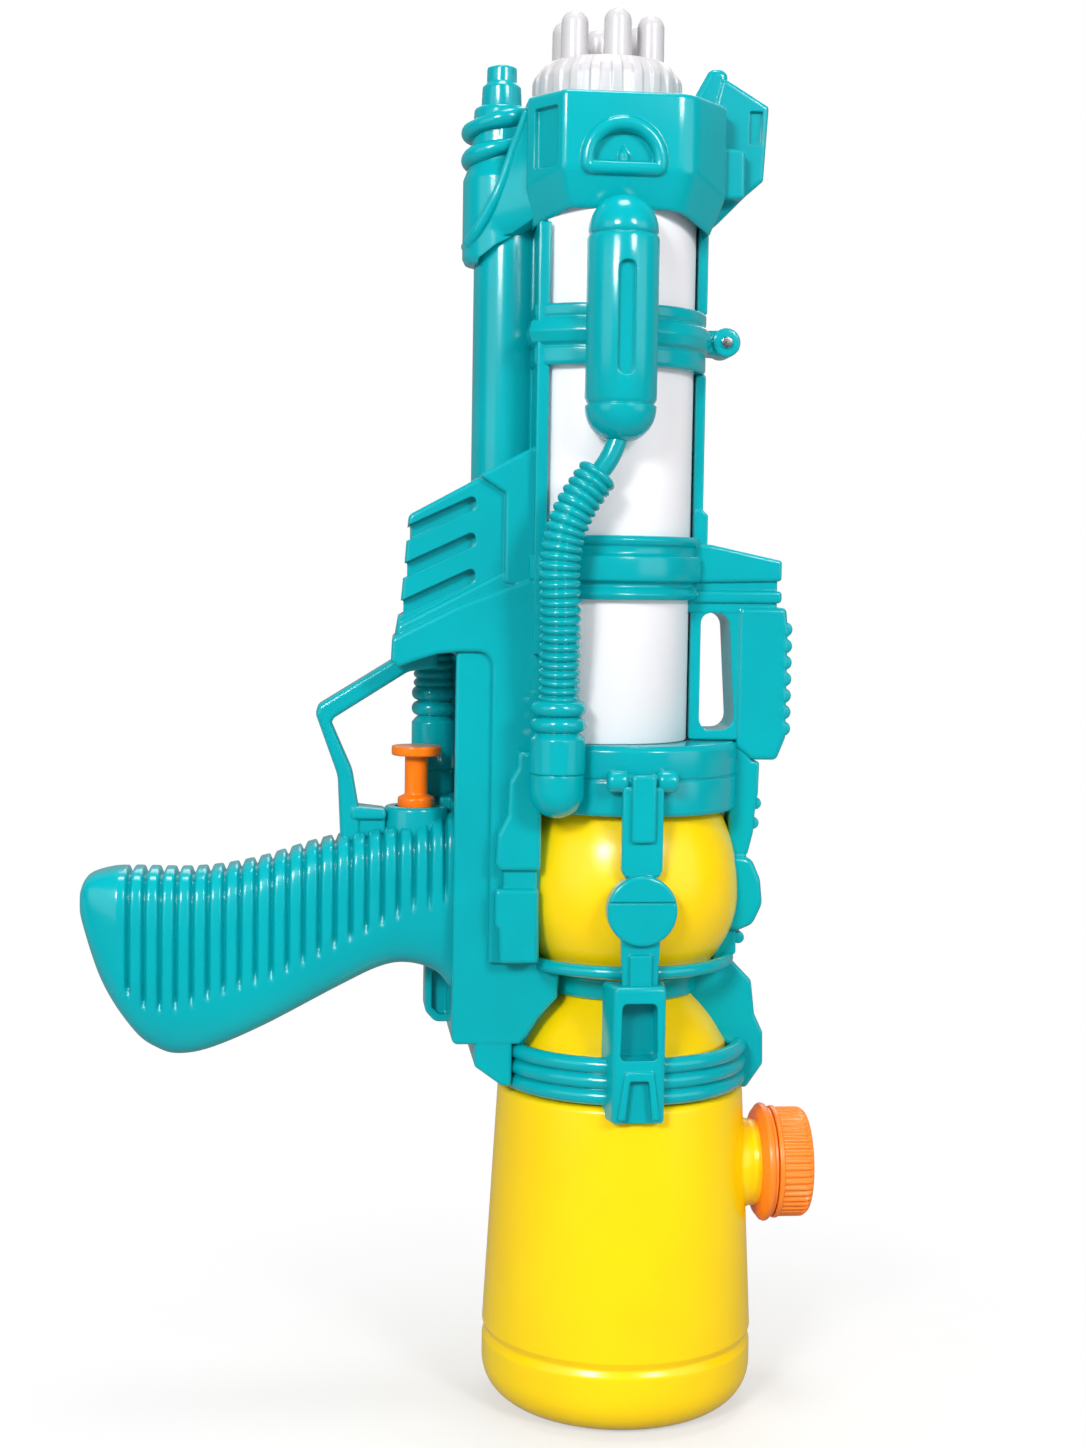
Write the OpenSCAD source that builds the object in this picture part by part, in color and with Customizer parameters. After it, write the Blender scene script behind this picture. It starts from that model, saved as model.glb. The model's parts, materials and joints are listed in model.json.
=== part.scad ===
// Toy water squirter standing muzzle-up on its tank, in millimetres.
// X runs from the grip towards the filler cap, Y from the near half to the far half, Z up the barrel.
// The origin is the centre of the tank's flat base. The moulded halves part on the plane Y = 0.

/* [Tank] */
// Largest radius of the tank, just above its base
tank_r = 40; // [36:0.5:44]
// Radius of the flat base
base_r = 28; // [24:0.5:30]
// Radius at the top of the tank's straight body
tank_top_r = 36.3; // [33:0.1:38]
// Height of the straight body
tank_body_h = 93; // [88:1:96]
// Radius of the waist that the waist ring surrounds
waist_r = 20.5; // [18:0.5:22]
// Height of the middle of the waist
waist_z = 125; // [123:0.5:127]
// Largest radius of the upper bulb
bulb_r = 33.8; // [32:0.1:34.5]
// Height of the bulb's widest place
bulb_z = 153; // [150:0.5:156]
// Wall of the blow-moulded tank
tank_wall = 1.8; // [1.2:0.1:2.6]
// Outer radius of the tank's upper mouth
mouth_r = 15; // [13:0.5:17]
// Height of the rim of the upper mouth
mouth_z = 190; // [188:0.5:191]

/* [Filler] */
// Height of the filler neck's axis
filler_z = 69.5; // [60:0.5:74]
// Outer radius of the filler neck
neck_r = 12.6; // [11:0.1:13.5]
// Radius of the neck's bore
neck_bore_r = 10.2; // [8:0.1:11]
// Distance of the neck's rim from the tank's axis
neck_end = 53.2; // [50:0.1:54]
// Outer radius of the screw cap
cap_r = 16.2; // [15:0.1:17]
// Height of the screw cap's ribbed wall
cap_h = 10.6; // [9:0.1:12]
// Number of ribs round the cap
cap_ribs = 48; // [24:2:60]
// Outer radius of the ring that stays on the neck
ring_r = 17.2; // [16.5:0.1:18]
// Width of the ring that stays on the neck
ring_w = 4.4; // [3:0.1:5]

/* [Barrel] */
// Distance of the barrel's axis from the tank's axis
barrel_x = -9; // [-12:0.5:-7]
// Outer radius of the white sleeve
sleeve_r = 26.5; // [25:0.1:27]
// Wall of the white sleeve
sleeve_wall = 1.8; // [1.2:0.1:2.4]
// Distance from the barrel's axis to the sleeve's flat side
sleeve_flat = 18.4; // [17:0.1:19]
// Height at which the sleeve starts
sleeve_z = 197; // [196.5:0.5:199]
// Length of the sleeve
sleeve_len = 163; // [160:1:168]
// Distance of the lower barrel's axis from the tank's axis
pipe_x = -39.4; // [-41:0.1:-39]
// Outer radius of the lower barrel
pipe_r = 9.6; // [9:0.1:9.9]

/* [Muzzle] */
// Height of the muzzle housing's flat top above the sleeve's end
housing_rise = 17.5; // [14:0.5:20]
// How far the housing reaches down past the sleeve's end
housing_lap = 17.5; // [14:0.5:20]
// Height of the housing's tapered skirt
skirt_h = 8.5; // [6.5:0.5:11]
// Depth of the housing's front facet from the parting plane
housing_d = 30; // [29:0.5:32]
// Radius of the fluted muzzle ring
cluster_r = 21.6; // [20:0.1:23]
// Height of the fluted muzzle ring
cluster_h = 12.5; // [10:0.5:14]
// Number of flutes round the muzzle ring
flute_count = 22; // [16:1:26]
// Number of round-tipped pegs
peg_count = 6; // [4:1:8]
// Radius of a peg
peg_r = 4; // [3.4:0.1:4.4]
// Radius of the circle that the pegs stand on
peg_circle = 12.8; // [11.5:0.1:14]
// Height of a peg above the ring
peg_h = 14.2; // [12:0.1:16]
// Radius of the axle that the muzzle ring turns on
axle_r = 6; // [5:0.1:7]

/* [Casing] */
// Half thickness of the receiver
receiver_d = 21; // [20:0.5:22]
// Half thickness of the vent block
vent_d = 17; // [15:0.5:19]
// Half thickness of the grip
grip_d = 14; // [12:0.5:16]
// Half thickness of the trigger guard
guard_d = 5; // [4:0.5:7]
// Wall of the moulded casing
casing_wall = 2.2; // [1.8:0.1:2.6]
// Number of grooves across the grip
groove_count = 21; // [15:1:22]
// Distance from one groove to the next
groove_pitch = 4.5; // [4:0.05:4.6]
// Depth of a groove
groove_depth = 1.3; // [0.8:0.1:1.6]

/* [Handle and rings] */
// Half thickness of the carry handle
handle_d = 9; // [7:0.5:11]
// Outer radius of the band round the sleeve
band_r = 31.4; // [30.5:0.1:32]
// Outer radius of the clamp ring
clamp_r = 30.4; // [29.8:0.1:31]
// Outer radius of the collar over the tank's mouth
collar_r = 32.6; // [32:0.1:33]
// Radius of the bead of a tank hoop
hoop_bead = 2.3; // [1.8:0.1:2.5]
// Distance from one tank hoop to the next
hoop_pitch = 4.5; // [4.2:0.1:4.8]
// Height of the middle tank hoop
hoop_z = 102.4; // [101:0.1:104]
// Half thickness of the right spine
spine_d = 8; // [6:0.5:10]

/* [Pump] */
// Distance of the trigger's axis from the tank's axis
trigger_x = -61.6; // [-63:0.1:-61]
// Height of the pump cylinder's rim
pump_z = 176.7; // [176:0.1:178]
// Outer radius of the pump cylinder
pump_r = 9.3; // [8.8:0.1:9.6]
// Radius of the pump bore
pump_bore = 6.2; // [5.8:0.1:6.6]
// Length of the pump cylinder
pump_len = 38; // [36:0.5:40]
// Radius of the trigger's finger disc
finger_r = 7.3; // [6.8:0.1:8]
// Radius of the trigger's stem
stem_r = 3.4; // [3:0.1:4]
// Height of the finger disc's top above the pump rim
trigger_h = 17.7; // [17:0.1:19]
// Travel of the trigger
travel = 11; // [8:0.5:11.5]

/* [Hose and capsule] */
// Radius of the side capsule
capsule_r = 10; // [9:0.1:10.5]
// How far the capsule's lower end is below the sleeve's end
capsule_drop = 79; // [77:0.5:80]
// Length of the capsule
capsule_len = 66; // [64:0.5:68]
// Outer radius of the hose at a rib
rib_r = 5.9; // [5.4:0.1:6.2]
// Outer radius of the hose between ribs
hose_r = 4.9; // [4.4:0.1:5.2]
// Radius of the hose's bore
hose_bore = 3.2; // [2.5:0.1:3.8]
// Number of ribs on the hose
rib_count = 27; // [20:1:32]

/* [Hidden] */
$fn = 64;

teal = "#00A6AC";
yellow = "#FFE000";
white = "#F2F0F3";
orange = "#FF7D0F";
steel = "#B8BCC0";
rubber = "#2B2B2E";
clear = "#DDE3E3";

seat = 0.1;
run_gap = 0.05;
clear_gap = 0.3;
big = 600;

sleeve_top = sleeve_z + sleeve_len;
housing_top = sleeve_top + housing_rise;
housing_z = sleeve_top - housing_lap;
skirt_top = housing_z + skirt_h;
capsule_z = sleeve_top - capsule_drop;

// Geometry helpers

// Points along an arc, from one angle to another
function arc(cx, cy, r, a0, a1, steps = 8) =
    [for (i = [0 : steps]) let (a = a0 + (a1 - a0) * i / steps) [cx + r * cos(a), cy + r * sin(a)]];

// One point of a smooth curve through four control points
function blend_point(a, b, c, d, t) =
    0.5 * (2 * b + (c - a) * t + (2 * a - 5 * b + 4 * c - d) * t * t + (3 * b - a - 3 * c + d) * t * t * t);

// Smooth curve through a list of control points, in any dimension
function curve(p, steps) = let (n = len(p) - 1) concat(
    [for (i = [0 : n - 1]) for (k = [0 : steps - 1])
        blend_point(p[max(i - 1, 0)], p[i], p[i + 1], p[min(i + 2, n)], k / steps)],
    [p[n]]);

// Closed solid from rings of points that all hold the same number of points
module loft(rings) {
    n = len(rings[0]);
    m = len(rings);
    polyhedron(
        [for (r = rings) each r],
        concat(
            [for (i = [0 : m - 2]) for (j = [0 : n - 1]) let (a = i * n + j, b = i * n + (j + 1) % n)
                each [[a, b, b + n], [a, b + n, a + n]]],
            [[for (j = [n - 1 : -1 : 0]) j]],
            [[for (j = [0 : n - 1]) (m - 1) * n + j]]));
}

// An outline in X and Z, made solid from y0 to y1
module slab(y0, y1) {
    translate([0, y1, 0]) rotate([90, 0, 0]) linear_extrude(y1 - y0) children();
}

// Rounded outline
module soft(r) {
    offset(r) offset(-r) children();
}

// The near side of the parting plane
module near_half() {
    intersection() {
        children();
        translate([-big / 2, -big, -1]) cube(big);
    }
}

// A corner post of a soft-edged near-side block, square to the parting plane
module corner_post(x, z, depth, r, edge) {
    translate([x, 0, z]) rotate([90, 0, 0]) {
        cylinder(r = r, h = depth - edge, $fn = 12);
        cylinder(r = max(r - edge, 0.2), h = depth, $fn = 12);
    }
}

// A convex near-side block with round corners and a bevelled outer edge
module soft_block(points, depth, r = 2, edge = 1) {
    hull() for (p = points) corner_post(p[0], p[1], depth, r, edge);
}

// A tube that a planar profile is turned into about a vertical axis
module turned(x = 0) {
    translate([x, 0, 0]) rotate_extrude() children();
}

// A hollow straight pipe along Z
module pipe(r, bore, h) {
    difference() {
        cylinder(r = r, h = h);
        translate([0, 0, -1]) cylinder(r = bore, h = h + 2);
    }
}

// Tank

base_edge = tank_r - base_r;
groove_z = 20.5;
groove_cut = 1.1;
hoop_seat_r = 31;
hoop_seat_z = hoop_z - hoop_pitch - hoop_bead;
hoop_seat_top = hoop_z + hoop_pitch + hoop_bead;
mouth_drop = 8;

// Outline of the tank from the base to the mouth, grown or shrunk by a distance
function tank_side(g) = concat(
    arc(base_r, base_edge, base_edge + g, -90, 0, 10),
    [[tank_r + g, groove_z - 2 * groove_cut],
     [tank_r - groove_cut + g, groove_z],
     [tank_r + g, groove_z + 2 * groove_cut],
     [tank_top_r + g, tank_body_h - 1]],
    arc(tank_top_r - 2, tank_body_h - 1, 2 + g, 15, 80, 4),
    [[hoop_seat_r + g, hoop_seat_z + g / 2]],
    curve([[hoop_seat_r + g, hoop_seat_top - 0.4], [hoop_seat_r - 2 + g, hoop_seat_top + 2.4],
           [hoop_seat_r - 5 + g, hoop_seat_top + 7.4 + g / 2], [waist_r + 2 + g, waist_z - 4.4 + g],
           [waist_r + g, waist_z - 1],
           [waist_r + 1 + g, waist_z + 3 - g], [bulb_r - 7.4 + g, waist_z + 7 - g / 2],
           [bulb_r - 2.6 + g, bulb_z - 14], [bulb_r + g, bulb_z],
           [bulb_r - 2 + g, bulb_z + 16], [bulb_r - 8 + g, bulb_z + 26 + g / 2],
           [mouth_r + 3 + g, mouth_z - mouth_drop + g], [mouth_r + g, mouth_z - mouth_drop + 2 + g]], 4));

tank_joint = hoop_z;
spout_x = 33;

// Wall of the tank cut through the middle
module tank_section() {
    difference() {
        polygon(concat([[0, 0]], tank_side(0), [[mouth_r, mouth_z], [0, mouth_z]]));
        polygon(concat([[-1, tank_wall]], [[0, tank_wall]], tank_side(-tank_wall),
            [[mouth_r - tank_wall, mouth_z + 1], [-1, mouth_z + 1]]));
    }
}

module tank() {
    color(yellow) difference() {
        turned() difference() {
            tank_section();
            translate([-1, tank_joint]) square(big);
        }
        translate([0, 0, filler_z]) rotate([0, 90, 0]) cylinder(r = neck_r + seat, h = big);
    }
}

module tank_upper() {
    color(yellow) turned() difference() {
        tank_section();
        translate([-1, tank_joint + seat - big]) square(big);
    }
}

module filler_spout() {
    color(yellow) translate([spout_x, 0, filler_z]) rotate([0, 90, 0])
        pipe(neck_r, neck_bore_r, neck_end - spout_x);
}

gasket_h = 1;
bung_flange = 2;
bung_depth = 6;
tube_r = 2.4;
tube_bore = 1.6;
bung_vent_r = 0.8;

module tank_bung() {
    plug_r = mouth_r - tank_wall - seat;
    bung_h = bung_depth + gasket_h + bung_flange;
    color(white) difference() {
        union() {
            translate([0, 0, mouth_z + gasket_h]) cylinder(r = mouth_r, h = bung_flange);
            translate([0, 0, mouth_z - bung_depth]) cylinder(r = plug_r, h = bung_depth + gasket_h);
        }
        translate([0, 0, mouth_z - bung_depth - 1]) {
            cylinder(r = tube_r + run_gap, h = bung_h + 2);
            translate([plug_r / 2, 0, 0]) cylinder(r = bung_vent_r, h = bung_h + 2);
        }
    }
}

module bung_gasket() {
    color(rubber) translate([0, 0, mouth_z]) pipe(mouth_r, mouth_r - tank_wall, gasket_h);
}

// Suction tube: up out of the tank and across to the valve block
tube_bend = 6;
tube_top = sleeve_z + 9;
tube_start = 5;
valve_r = 5.4;
valve_z = 198;
valve_len = 28;
spur_r = 4;
spur_end = pipe_x + 8;
socket = 2.4;

module bend(a0) {
    rotate([90, 0, 0]) rotate_extrude(angle = 90, start = a0) translate([tube_bend, 0]) children();
}

module tube_run(r) {
    run_end = spur_end - socket + seat;
    translate([0, 0, tube_start]) cylinder(r = r, h = tube_top - tube_bend - tube_start);
    translate([-tube_bend, 0, tube_top - tube_bend]) bend(0) circle(r);
    translate([run_end, 0, tube_top]) rotate([0, 90, 0]) cylinder(r = r, h = -tube_bend - run_end);
}

module suction_tube() {
    color(clear) difference() {
        tube_run(tube_r);
        tube_run(tube_bore);
        translate([0, 0, tube_start - 1]) cylinder(r = tube_bore, h = 2);
        translate([spur_end - socket - 1, 0, tube_top]) rotate([0, 90, 0]) cylinder(r = tube_bore, h = 2);
    }
}

// Riser from the pump's side port up to the valve block
module riser_run(r) {
    riser_top = valve_z + socket - seat;
    translate([riser_start, 0, port_z]) rotate([0, 90, 0])
        cylinder(r = r, h = pipe_x - tube_bend - riser_start);
    translate([pipe_x - tube_bend, 0, port_z + tube_bend]) bend(270) circle(r);
    translate([pipe_x, 0, port_z + tube_bend]) cylinder(r = r, h = riser_top - port_z - tube_bend);
}

module pump_riser() {
    color(clear) difference() {
        riser_run(tube_r);
        riser_run(tube_bore);
        translate([riser_start - 1, 0, port_z]) rotate([0, 90, 0]) cylinder(r = tube_bore, h = 2);
        translate([pipe_x, 0, valve_z]) cylinder(r = tube_bore, h = socket + 1);
    }
}

// Filler

cap_top = 2.2;
liner_h = 1;
cap_x = neck_end + liner_h + seat + cap_top - cap_h;
cap_lip = 1.3;

module along_x(x) {
    translate([x, 0, filler_z]) rotate([0, 90, 0]) children();
}

module neck_ring() {
    color("#FF8228") along_x(cap_x - clear_gap - ring_w) difference() {
        union() {
            pipe(ring_r, neck_r + seat, ring_w);
            rotate_extrude() translate([ring_r - 1, ring_w / 2]) circle(1.3);
        }
        translate([0, 0, -1]) cylinder(r = neck_r + seat, h = ring_w + 2);
    }
}

module filler_cap() {
    color("#FF8228") along_x(cap_x) difference() {
        union() {
            linear_extrude(cap_h) difference() {
                circle(cap_r);
                for (i = [0 : cap_ribs - 1]) rotate(i * 360 / cap_ribs)
                    translate([cap_r + 0.25, 0]) circle(0.55, $fn = 16);
            }
            cylinder(r = cap_r + cap_lip * 0.4, h = cap_lip);
        }
        translate([0, 0, -1]) cylinder(r = neck_r + clear_gap, h = cap_h - cap_top + 1);
    }
}

module cap_liner() {
    color(white) along_x(neck_end) cylinder(r = neck_r, h = liner_h);
}

// Barrel sleeve

// Outline of the sleeve seen from above, grown by a distance
module sleeve_outline(g) {
    intersection() {
        translate([barrel_x, 0]) circle(sleeve_r + g);
        translate([barrel_x - sleeve_flat - g, -big / 2]) square(big);
    }
}

module sleeve_solid(g, z0, z1) {
    translate([0, 0, z0]) linear_extrude(z1 - z0) sleeve_outline(g);
}

module barrel_sleeve() {
    color(white) difference() {
        sleeve_solid(0, sleeve_z, sleeve_top);
        sleeve_solid(-sleeve_wall, sleeve_z - 1, sleeve_top + 1);
        translate([barrel_x - sleeve_r, 0, tube_top]) rotate([0, 90, 0])
            cylinder(r = tube_r + clear_gap, h = sleeve_r);
    }
}

// Casing halves: receiver, vent block, grip, trigger guard and lower barrel

rec_left = -51.5;
rec_right = -26.5;
rec_z = 110;
rec_corner = 2;
riser_start = rec_left + casing_wall + 0.6;
vent_top = [-29, 281.5];
vent_left = [-65.5, 261];
vent_low = [-69.8, 220.3];
vent_foot = [-29, 213.2];
slot_w = 3.2;
slot_cut = 2.4;
slot_tilt = 27;
slot_end = -46.4;
slot_heights = [246, 256, 266];
column_top = 226;
column_cut = 6;
pipe_start = 258;
flat_x = barrel_x - sleeve_flat;
rail_t = 2.6;
rail_left = flat_x - rail_t;
rail_z = 222;
rail_lip = 3;
guard_bar = 2.1;
guard_line = [[-66.2, 219], [-88.6, 204.2], [-82.4, 186], [-81.2, 167]];
grip_root = -46;
grip_end = -157.6;
grip_steps = 10;
groove_w = 1.9;
groove_first = -143.5;
grip_top = curve([[grip_end - 0.4, 151], [-155.8, 155.8], [-150, 158.2], [-143, 158.6], [-123.5, 158.6],
    [-107, 161.2], [-86.3, 167], [-54, 173], [grip_root + 4, 174]], 4);
grip_low = curve([[grip_end - 0.4, 150], [-157, 142.8], [-151, 125.3], [-142, 111.5], [-135.5, 106.5],
    [-129.3, 104.8], [-120, 106.5], [-105, 113], [-84, 124.2], [-72, 130], [-64, 131], [-56, 128.6],
    [-51, 123], [grip_root + 4, 119]], 4);
ridge_low = [[-152, 135], [-146, 127], [-137, 118.5], [-127, 117], [-102, 127.8], [-58, 150], [-40, 158]];

// Half thickness along the grip: drawn in at the rounded butt
function grip_depth(x) = grip_d * min(1, 0.55 + sqrt(max(0, x - grip_end)) * 0.17);

// One near-side section of the grip at x, shrunk by a distance, with the ridged zone cut by a depth
function grip_ring(x, shrink, cut) =
    let (top = lookup(x, grip_top) - shrink, low = lookup(x, grip_low) + shrink, mid = (top + low) / 2,
         half = (top - low) / 2, deep = grip_depth(x) - shrink, zone = lookup(x, ridge_low))
    [for (i = [0 : grip_steps])
        let (a = -90 + 180 * i / grip_steps, z = mid + half * sign(sin(a)) * pow(abs(sin(a)), 0.6),
             d = (z > zone) ? cut : 0,
             zz = mid + (half - d) * sign(sin(a)) * pow(abs(sin(a)), 0.6))
        [x, -max(deep - d, 1) * pow(max(cos(a), 0), 0.5), zz]];

// Stations along the grip: four for each groove, and plain ones past the last ridge
grip_stations = concat(
    [[grip_end, 0], [grip_end + 1, 0], [grip_end + 3, 0], [grip_end + 6.5, 0], [grip_end + 10, 0]],
    [for (i = [0 : groove_count - 1]) let (c = groove_first + i * groove_pitch)
        each [[c - groove_w / 2, 0], [c - groove_w / 3, 1], [c + groove_w / 3, 1], [c + groove_w / 2, 0]]],
    [[grip_root, 0]]);

module grip_outer() {
    loft([for (s = grip_stations) grip_ring(s[0], 0, s[1] * groove_depth)]);
}

module grip_inner() {
    x0 = grip_end + casing_wall + 2;
    steps = 14;
    inner = casing_wall + groove_depth;
    translate([0, seat, 0])
        loft([for (i = [0 : steps]) grip_ring(x0 + (grip_root - x0) * i / steps, inner, 0)]);
}

// A square near-side block that stops at the parting plane or runs past it
module near_box(x0, x1, y, z0, z1, past = 0) {
    translate([x0, -y, z0]) cube([x1 - x0, y + past, z1 - z0]);
}

// Place of each screw in X and Z, and the depth of its boss
screw_at = [[-36.5, 118, receiver_d - 1], [-57.5, 238.4, vent_d - 3], [-46.6, 188, receiver_d - 1],
    [-96.3, 142.2, grip_d - 2.6], [-133.6, 127.3, grip_d - 2.6]];
boss_r = 3;
screw_r = 1.2;
head_r = 2.5;
head_h = 1.8;
head_y = 6;
screw_depth = 9;

module guard() {
    for (i = [0 : len(guard_line) - 2]) hull() for (p = [guard_line[i], guard_line[i + 1]])
        corner_post(p[0], p[1], guard_d, guard_bar, 0.8);
    soft_block([[-81.2, 167], [-80.2, 174.3], [-73.3, 174], [-73.3, 164]], guard_d, 1.5, 0.8);
}

module casing_skin() {
    rec_l = rec_left + rec_corner;
    rec_r = rec_right - rec_corner;
    soft_block([[rec_l, rec_z + rec_corner], [rec_r, rec_z + rec_corner], [rec_r, column_top],
        [rec_l, column_top - column_cut]], receiver_d, rec_corner, 1.2);
    soft_block([vent_top, vent_left, vent_low, vent_foot], vent_d, 1, 1);
    soft_block([[-37, 216], [-37, 274], [-28.2, 279], [-28.2, 216]], vent_d + 2, 1, 0.8);
    hull() for (p = [[-69, 221.9], [-29.5, 244]]) corner_post(p[0], p[1], vent_d + 1.4, 1.8, 0.8);
    hull() for (p = [[-60, 219.5], [-29.5, 235]]) corner_post(p[0], p[1], vent_d + 2.6, 1.5, 0.8);
    soft_block([[-38.8, 162], [-38.8, 184], [-35, 188], [-28, 188], [-28, 162]], receiver_d + 4.5, 1.2, 1.2);
    soft_block([[-32.6, 186], [-32.6, 193.4], [-30.4, 193.4], [-29.6, 186.3]], receiver_d + 3.5, 1, 0.8);
    soft_block([[-38.8, 135.4], [-38.8, 154.4], [-28, 154.4], [-28, 135.4]], receiver_d + 4.5, 1.2, 1.2);
    soft_block([[-37, 156], [-37, 161], [-30, 161], [-30, 156]], receiver_d + 2, 1, 0.8);
    soft_block([[-44, 111], [-44, 103], [-37.4, 98.3], [-31, 98.3], [-31, 111]], receiver_d - 3, 1, 1);
    guard();
    grip_outer();
    translate([pipe_x, 0, pipe_start]) near_half()
        cylinder(r = pipe_r, h = housing_z + pipe_lap - pipe_start, $fn = 36);
    near_box(rail_left, flat_x - seat, receiver_d, rail_z, housing_z - seat);
    translate([rail_left, -receiver_d - rail_lip + 1, rail_z])
        cube([rail_t + 0.8, rail_lip, housing_z - seat - rail_z]);
}

module casing_cavity() {
    w = casing_wall;
    near_box(rec_left + w, rail_left - 0.4, receiver_d - w, rec_z + w, rail_z, seat);
    translate([0, seat, 0]) soft_block([vent_top + [-6, -6], vent_left + [w + 1, -w], vent_low + [w + 1, w],
        vent_foot + [-3, 1]], vent_d - slot_cut - 1.6, 0.6, 0.5);
    grip_inner();
    translate([pipe_x, 0, pipe_start - 2]) cylinder(r = pipe_r - w, h = big / 4, $fn = 36);
    translate([trigger_x, 0, pump_z - pump_len - seat])
        cylinder(r = pump_r + 1.5 * seat, h = big / 10, $fn = 48);
    translate([trigger_x, 0, port_z]) rotate([0, 90, 0])
        cylinder(r = tube_r + clear_gap, h = pipe_x - trigger_x, $fn = 24);
    translate([pipe_x, 0, tube_top]) rotate([0, 90, 0]) cylinder(r = spur_r + clear_gap, h = 16, $fn = 24);
    for (z = slot_heights) translate([slot_end, -vent_d - 1, z]) rotate([0, 180 - slot_tilt, 0]) {
        translate([0, 0, -slot_w / 2]) cube([40, slot_cut + 1, slot_w]);
        rotate([-90, 0, 0]) cylinder(r = slot_w / 2, h = slot_cut + 1, $fn = 20);
    }
    hull() for (p = [[-48.4, 176], [-48.4, 220], [-42.4, 220], [-42.4, 176]])
        translate([p[0], -receiver_d + 1.6, p[1]]) rotate([90, 0, 0]) cylinder(r = 1, h = 5, $fn = 16);
}

// Space that the tank, its cradle, the sleeve and the clamp take out of the casing
module casing_clearance() {
    rotate_extrude($fn = 48) polygon(concat([[0, 0]], tank_side(clear_gap),
        [[mouth_r + clear_gap, mouth_z + 5], [0, mouth_z + 5]]));
    translate([0, 0, collar_z - seat])
        cylinder(r = collar_r + seat, h = sleeve_z - collar_z + seat, $fn = 48);
    sleeve_solid(seat, sleeve_z - seat, big);
    clamp_shape(seat);
    rings_space();
    translate([cup_x, cup_y, cup_z - seat]) cylinder(r = cup_r + seat + 0.6, h = 40, $fn = 32);
}

module casing_half() {
    difference() {
        casing_skin();
        casing_cavity();
        casing_clearance();
    }
    for (p = screw_at) difference() {
        translate([p[0], 0, p[1]]) rotate([90, 0, 0]) cylinder(r = boss_r, h = p[2], $fn = 20);
        translate([p[0], 1, p[1]]) rotate([90, 0, 0])
            cylinder(r = screw_r + seat, h = screw_depth + 1.5, $fn = 16);
    }
}

module casing_front() {
    color(teal) casing_half();
}

module casing_back() {
    color(teal) difference() {
        mirror([0, 1, 0]) casing_half();
        for (p = screw_at) translate([p[0], 0, p[1]]) rotate([-90, 0, 0]) {
            translate([0, 0, -1]) cylinder(r = screw_r + seat, h = head_y + 2, $fn = 16);
            translate([0, 0, head_y]) cylinder(r = head_r + seat, h = 30, $fn = 22);
        }
        translate([back_hose_x, back_hose_y, back_cup_z - 1])
            cylinder(r = back_cup_r + seat, h = back_hose_end - back_cup_z + hose_room, $fn = 32);
        translate([back_hose_x - 7, vent_d - 0.2, back_cup_top + 2]) cube([8, 5, back_hose_len + 2.4]);
    }
}

module case_screws() {
    color(steel) for (p = screw_at) translate([p[0], head_y, p[1]]) rotate([90, 0, 0]) {
        cylinder(r = screw_r, h = head_y + screw_depth);
        difference() {
            translate([0, 0, -head_h]) cylinder(r = head_r, h = head_h);
            translate([-head_r, -0.3, -head_h - 1]) cube([2 * head_r, 0.6, 1.8]);
            translate([-0.3, -head_r, -head_h - 1]) cube([0.6, 2 * head_r, 1.8]);
        }
    }
}

// Muzzle housing

facet = [[-33.5, 0], [-33.5, -17.5], [-24.6, -housing_d], [11, -housing_d], [23.5, -15], [23.5, 0]];
skirt = [[-31.5, 0], [-31.5, -15], [-22.6, -housing_d + 2.4], [9, -housing_d + 2.4], [20, -13.5], [20, 0]];
plate_h = 3;
pipe_lap = 4;
nozzle_r = 10.8;
nozzle_z = housing_z - 6.5;
nozzle_top = housing_top + 0.5;
neck_wrap_r = 8.2;
wrap_z = housing_top - 13.5;
gauge_x = -7.8;
gauge_z = housing_top - 19.1;
gauge_r = 12.2;
gauge_hole = 8.3;
gauge_foot = 4;
gauge_rise = 1.4;
gauge_sink = 1.6;
sight_d = 7;
sight_box_d = 12;
sight = [[13, -7.5], [15.5, 2], [22.6, 13.5], [24.2, 13.5], [25.4, 9.3], [37.4, 2.3], [36.1, -18.8],
    [21, -housing_rise - housing_lap]];
sight_box = [[23, -26.5], [29.6, -26], [29.6, -10.5], [23, -10.5]];
sight_slot = [3.8, 2.2, 10];
side_slot = [4.4, 3, 15];

// The half-round opening of the gauge
module gauge_opening() {
    intersection() {
        circle(gauge_hole);
        translate([-gauge_hole, 0]) square(2 * gauge_hole);
    }
}

module muzzle_skin() {
    translate([0, 0, skirt_top]) linear_extrude(housing_top - skirt_top) polygon(facet);
    loft([[for (p = facet) [p[0], p[1], skirt_top]], [for (p = skirt) [p[0], p[1], housing_z]]]);
    translate([0, 0, housing_top]) {
        slab(-sight_d, 0) polygon(sight);
        slab(-sight_box_d, 0) polygon(sight_box);
    }
    near_half() difference() {
        translate([pipe_x, 0, nozzle_z]) {
            cylinder(r = nozzle_r, h = wrap_z - nozzle_z);
            cylinder(r = neck_wrap_r, h = nozzle_top - nozzle_z);
        }
        translate([rail_left - seat, -big / 2, 0]) cube([big, big, housing_z + 1]);
    }
    near_box(pipe_x, rail_left - seat, neck_wrap_r - 0.2, nozzle_z + 4, housing_top - 6);
    near_box(loop_left, rail_right, rail_d, clamp_z + clamp_h + seat, housing_z + 1);
    translate([gauge_x, -housing_d + 1, gauge_z]) rotate([90, 0, 0])
        linear_extrude(gauge_rise + 1) difference() {
            union() {
                circle(gauge_r);
                translate([-gauge_r, -gauge_foot]) square([2 * gauge_r, gauge_foot]);
            }
            translate([-gauge_r - 1, -gauge_r - gauge_foot]) square([2 * gauge_r + 2, gauge_r]);
            gauge_opening();
        }
}

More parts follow.
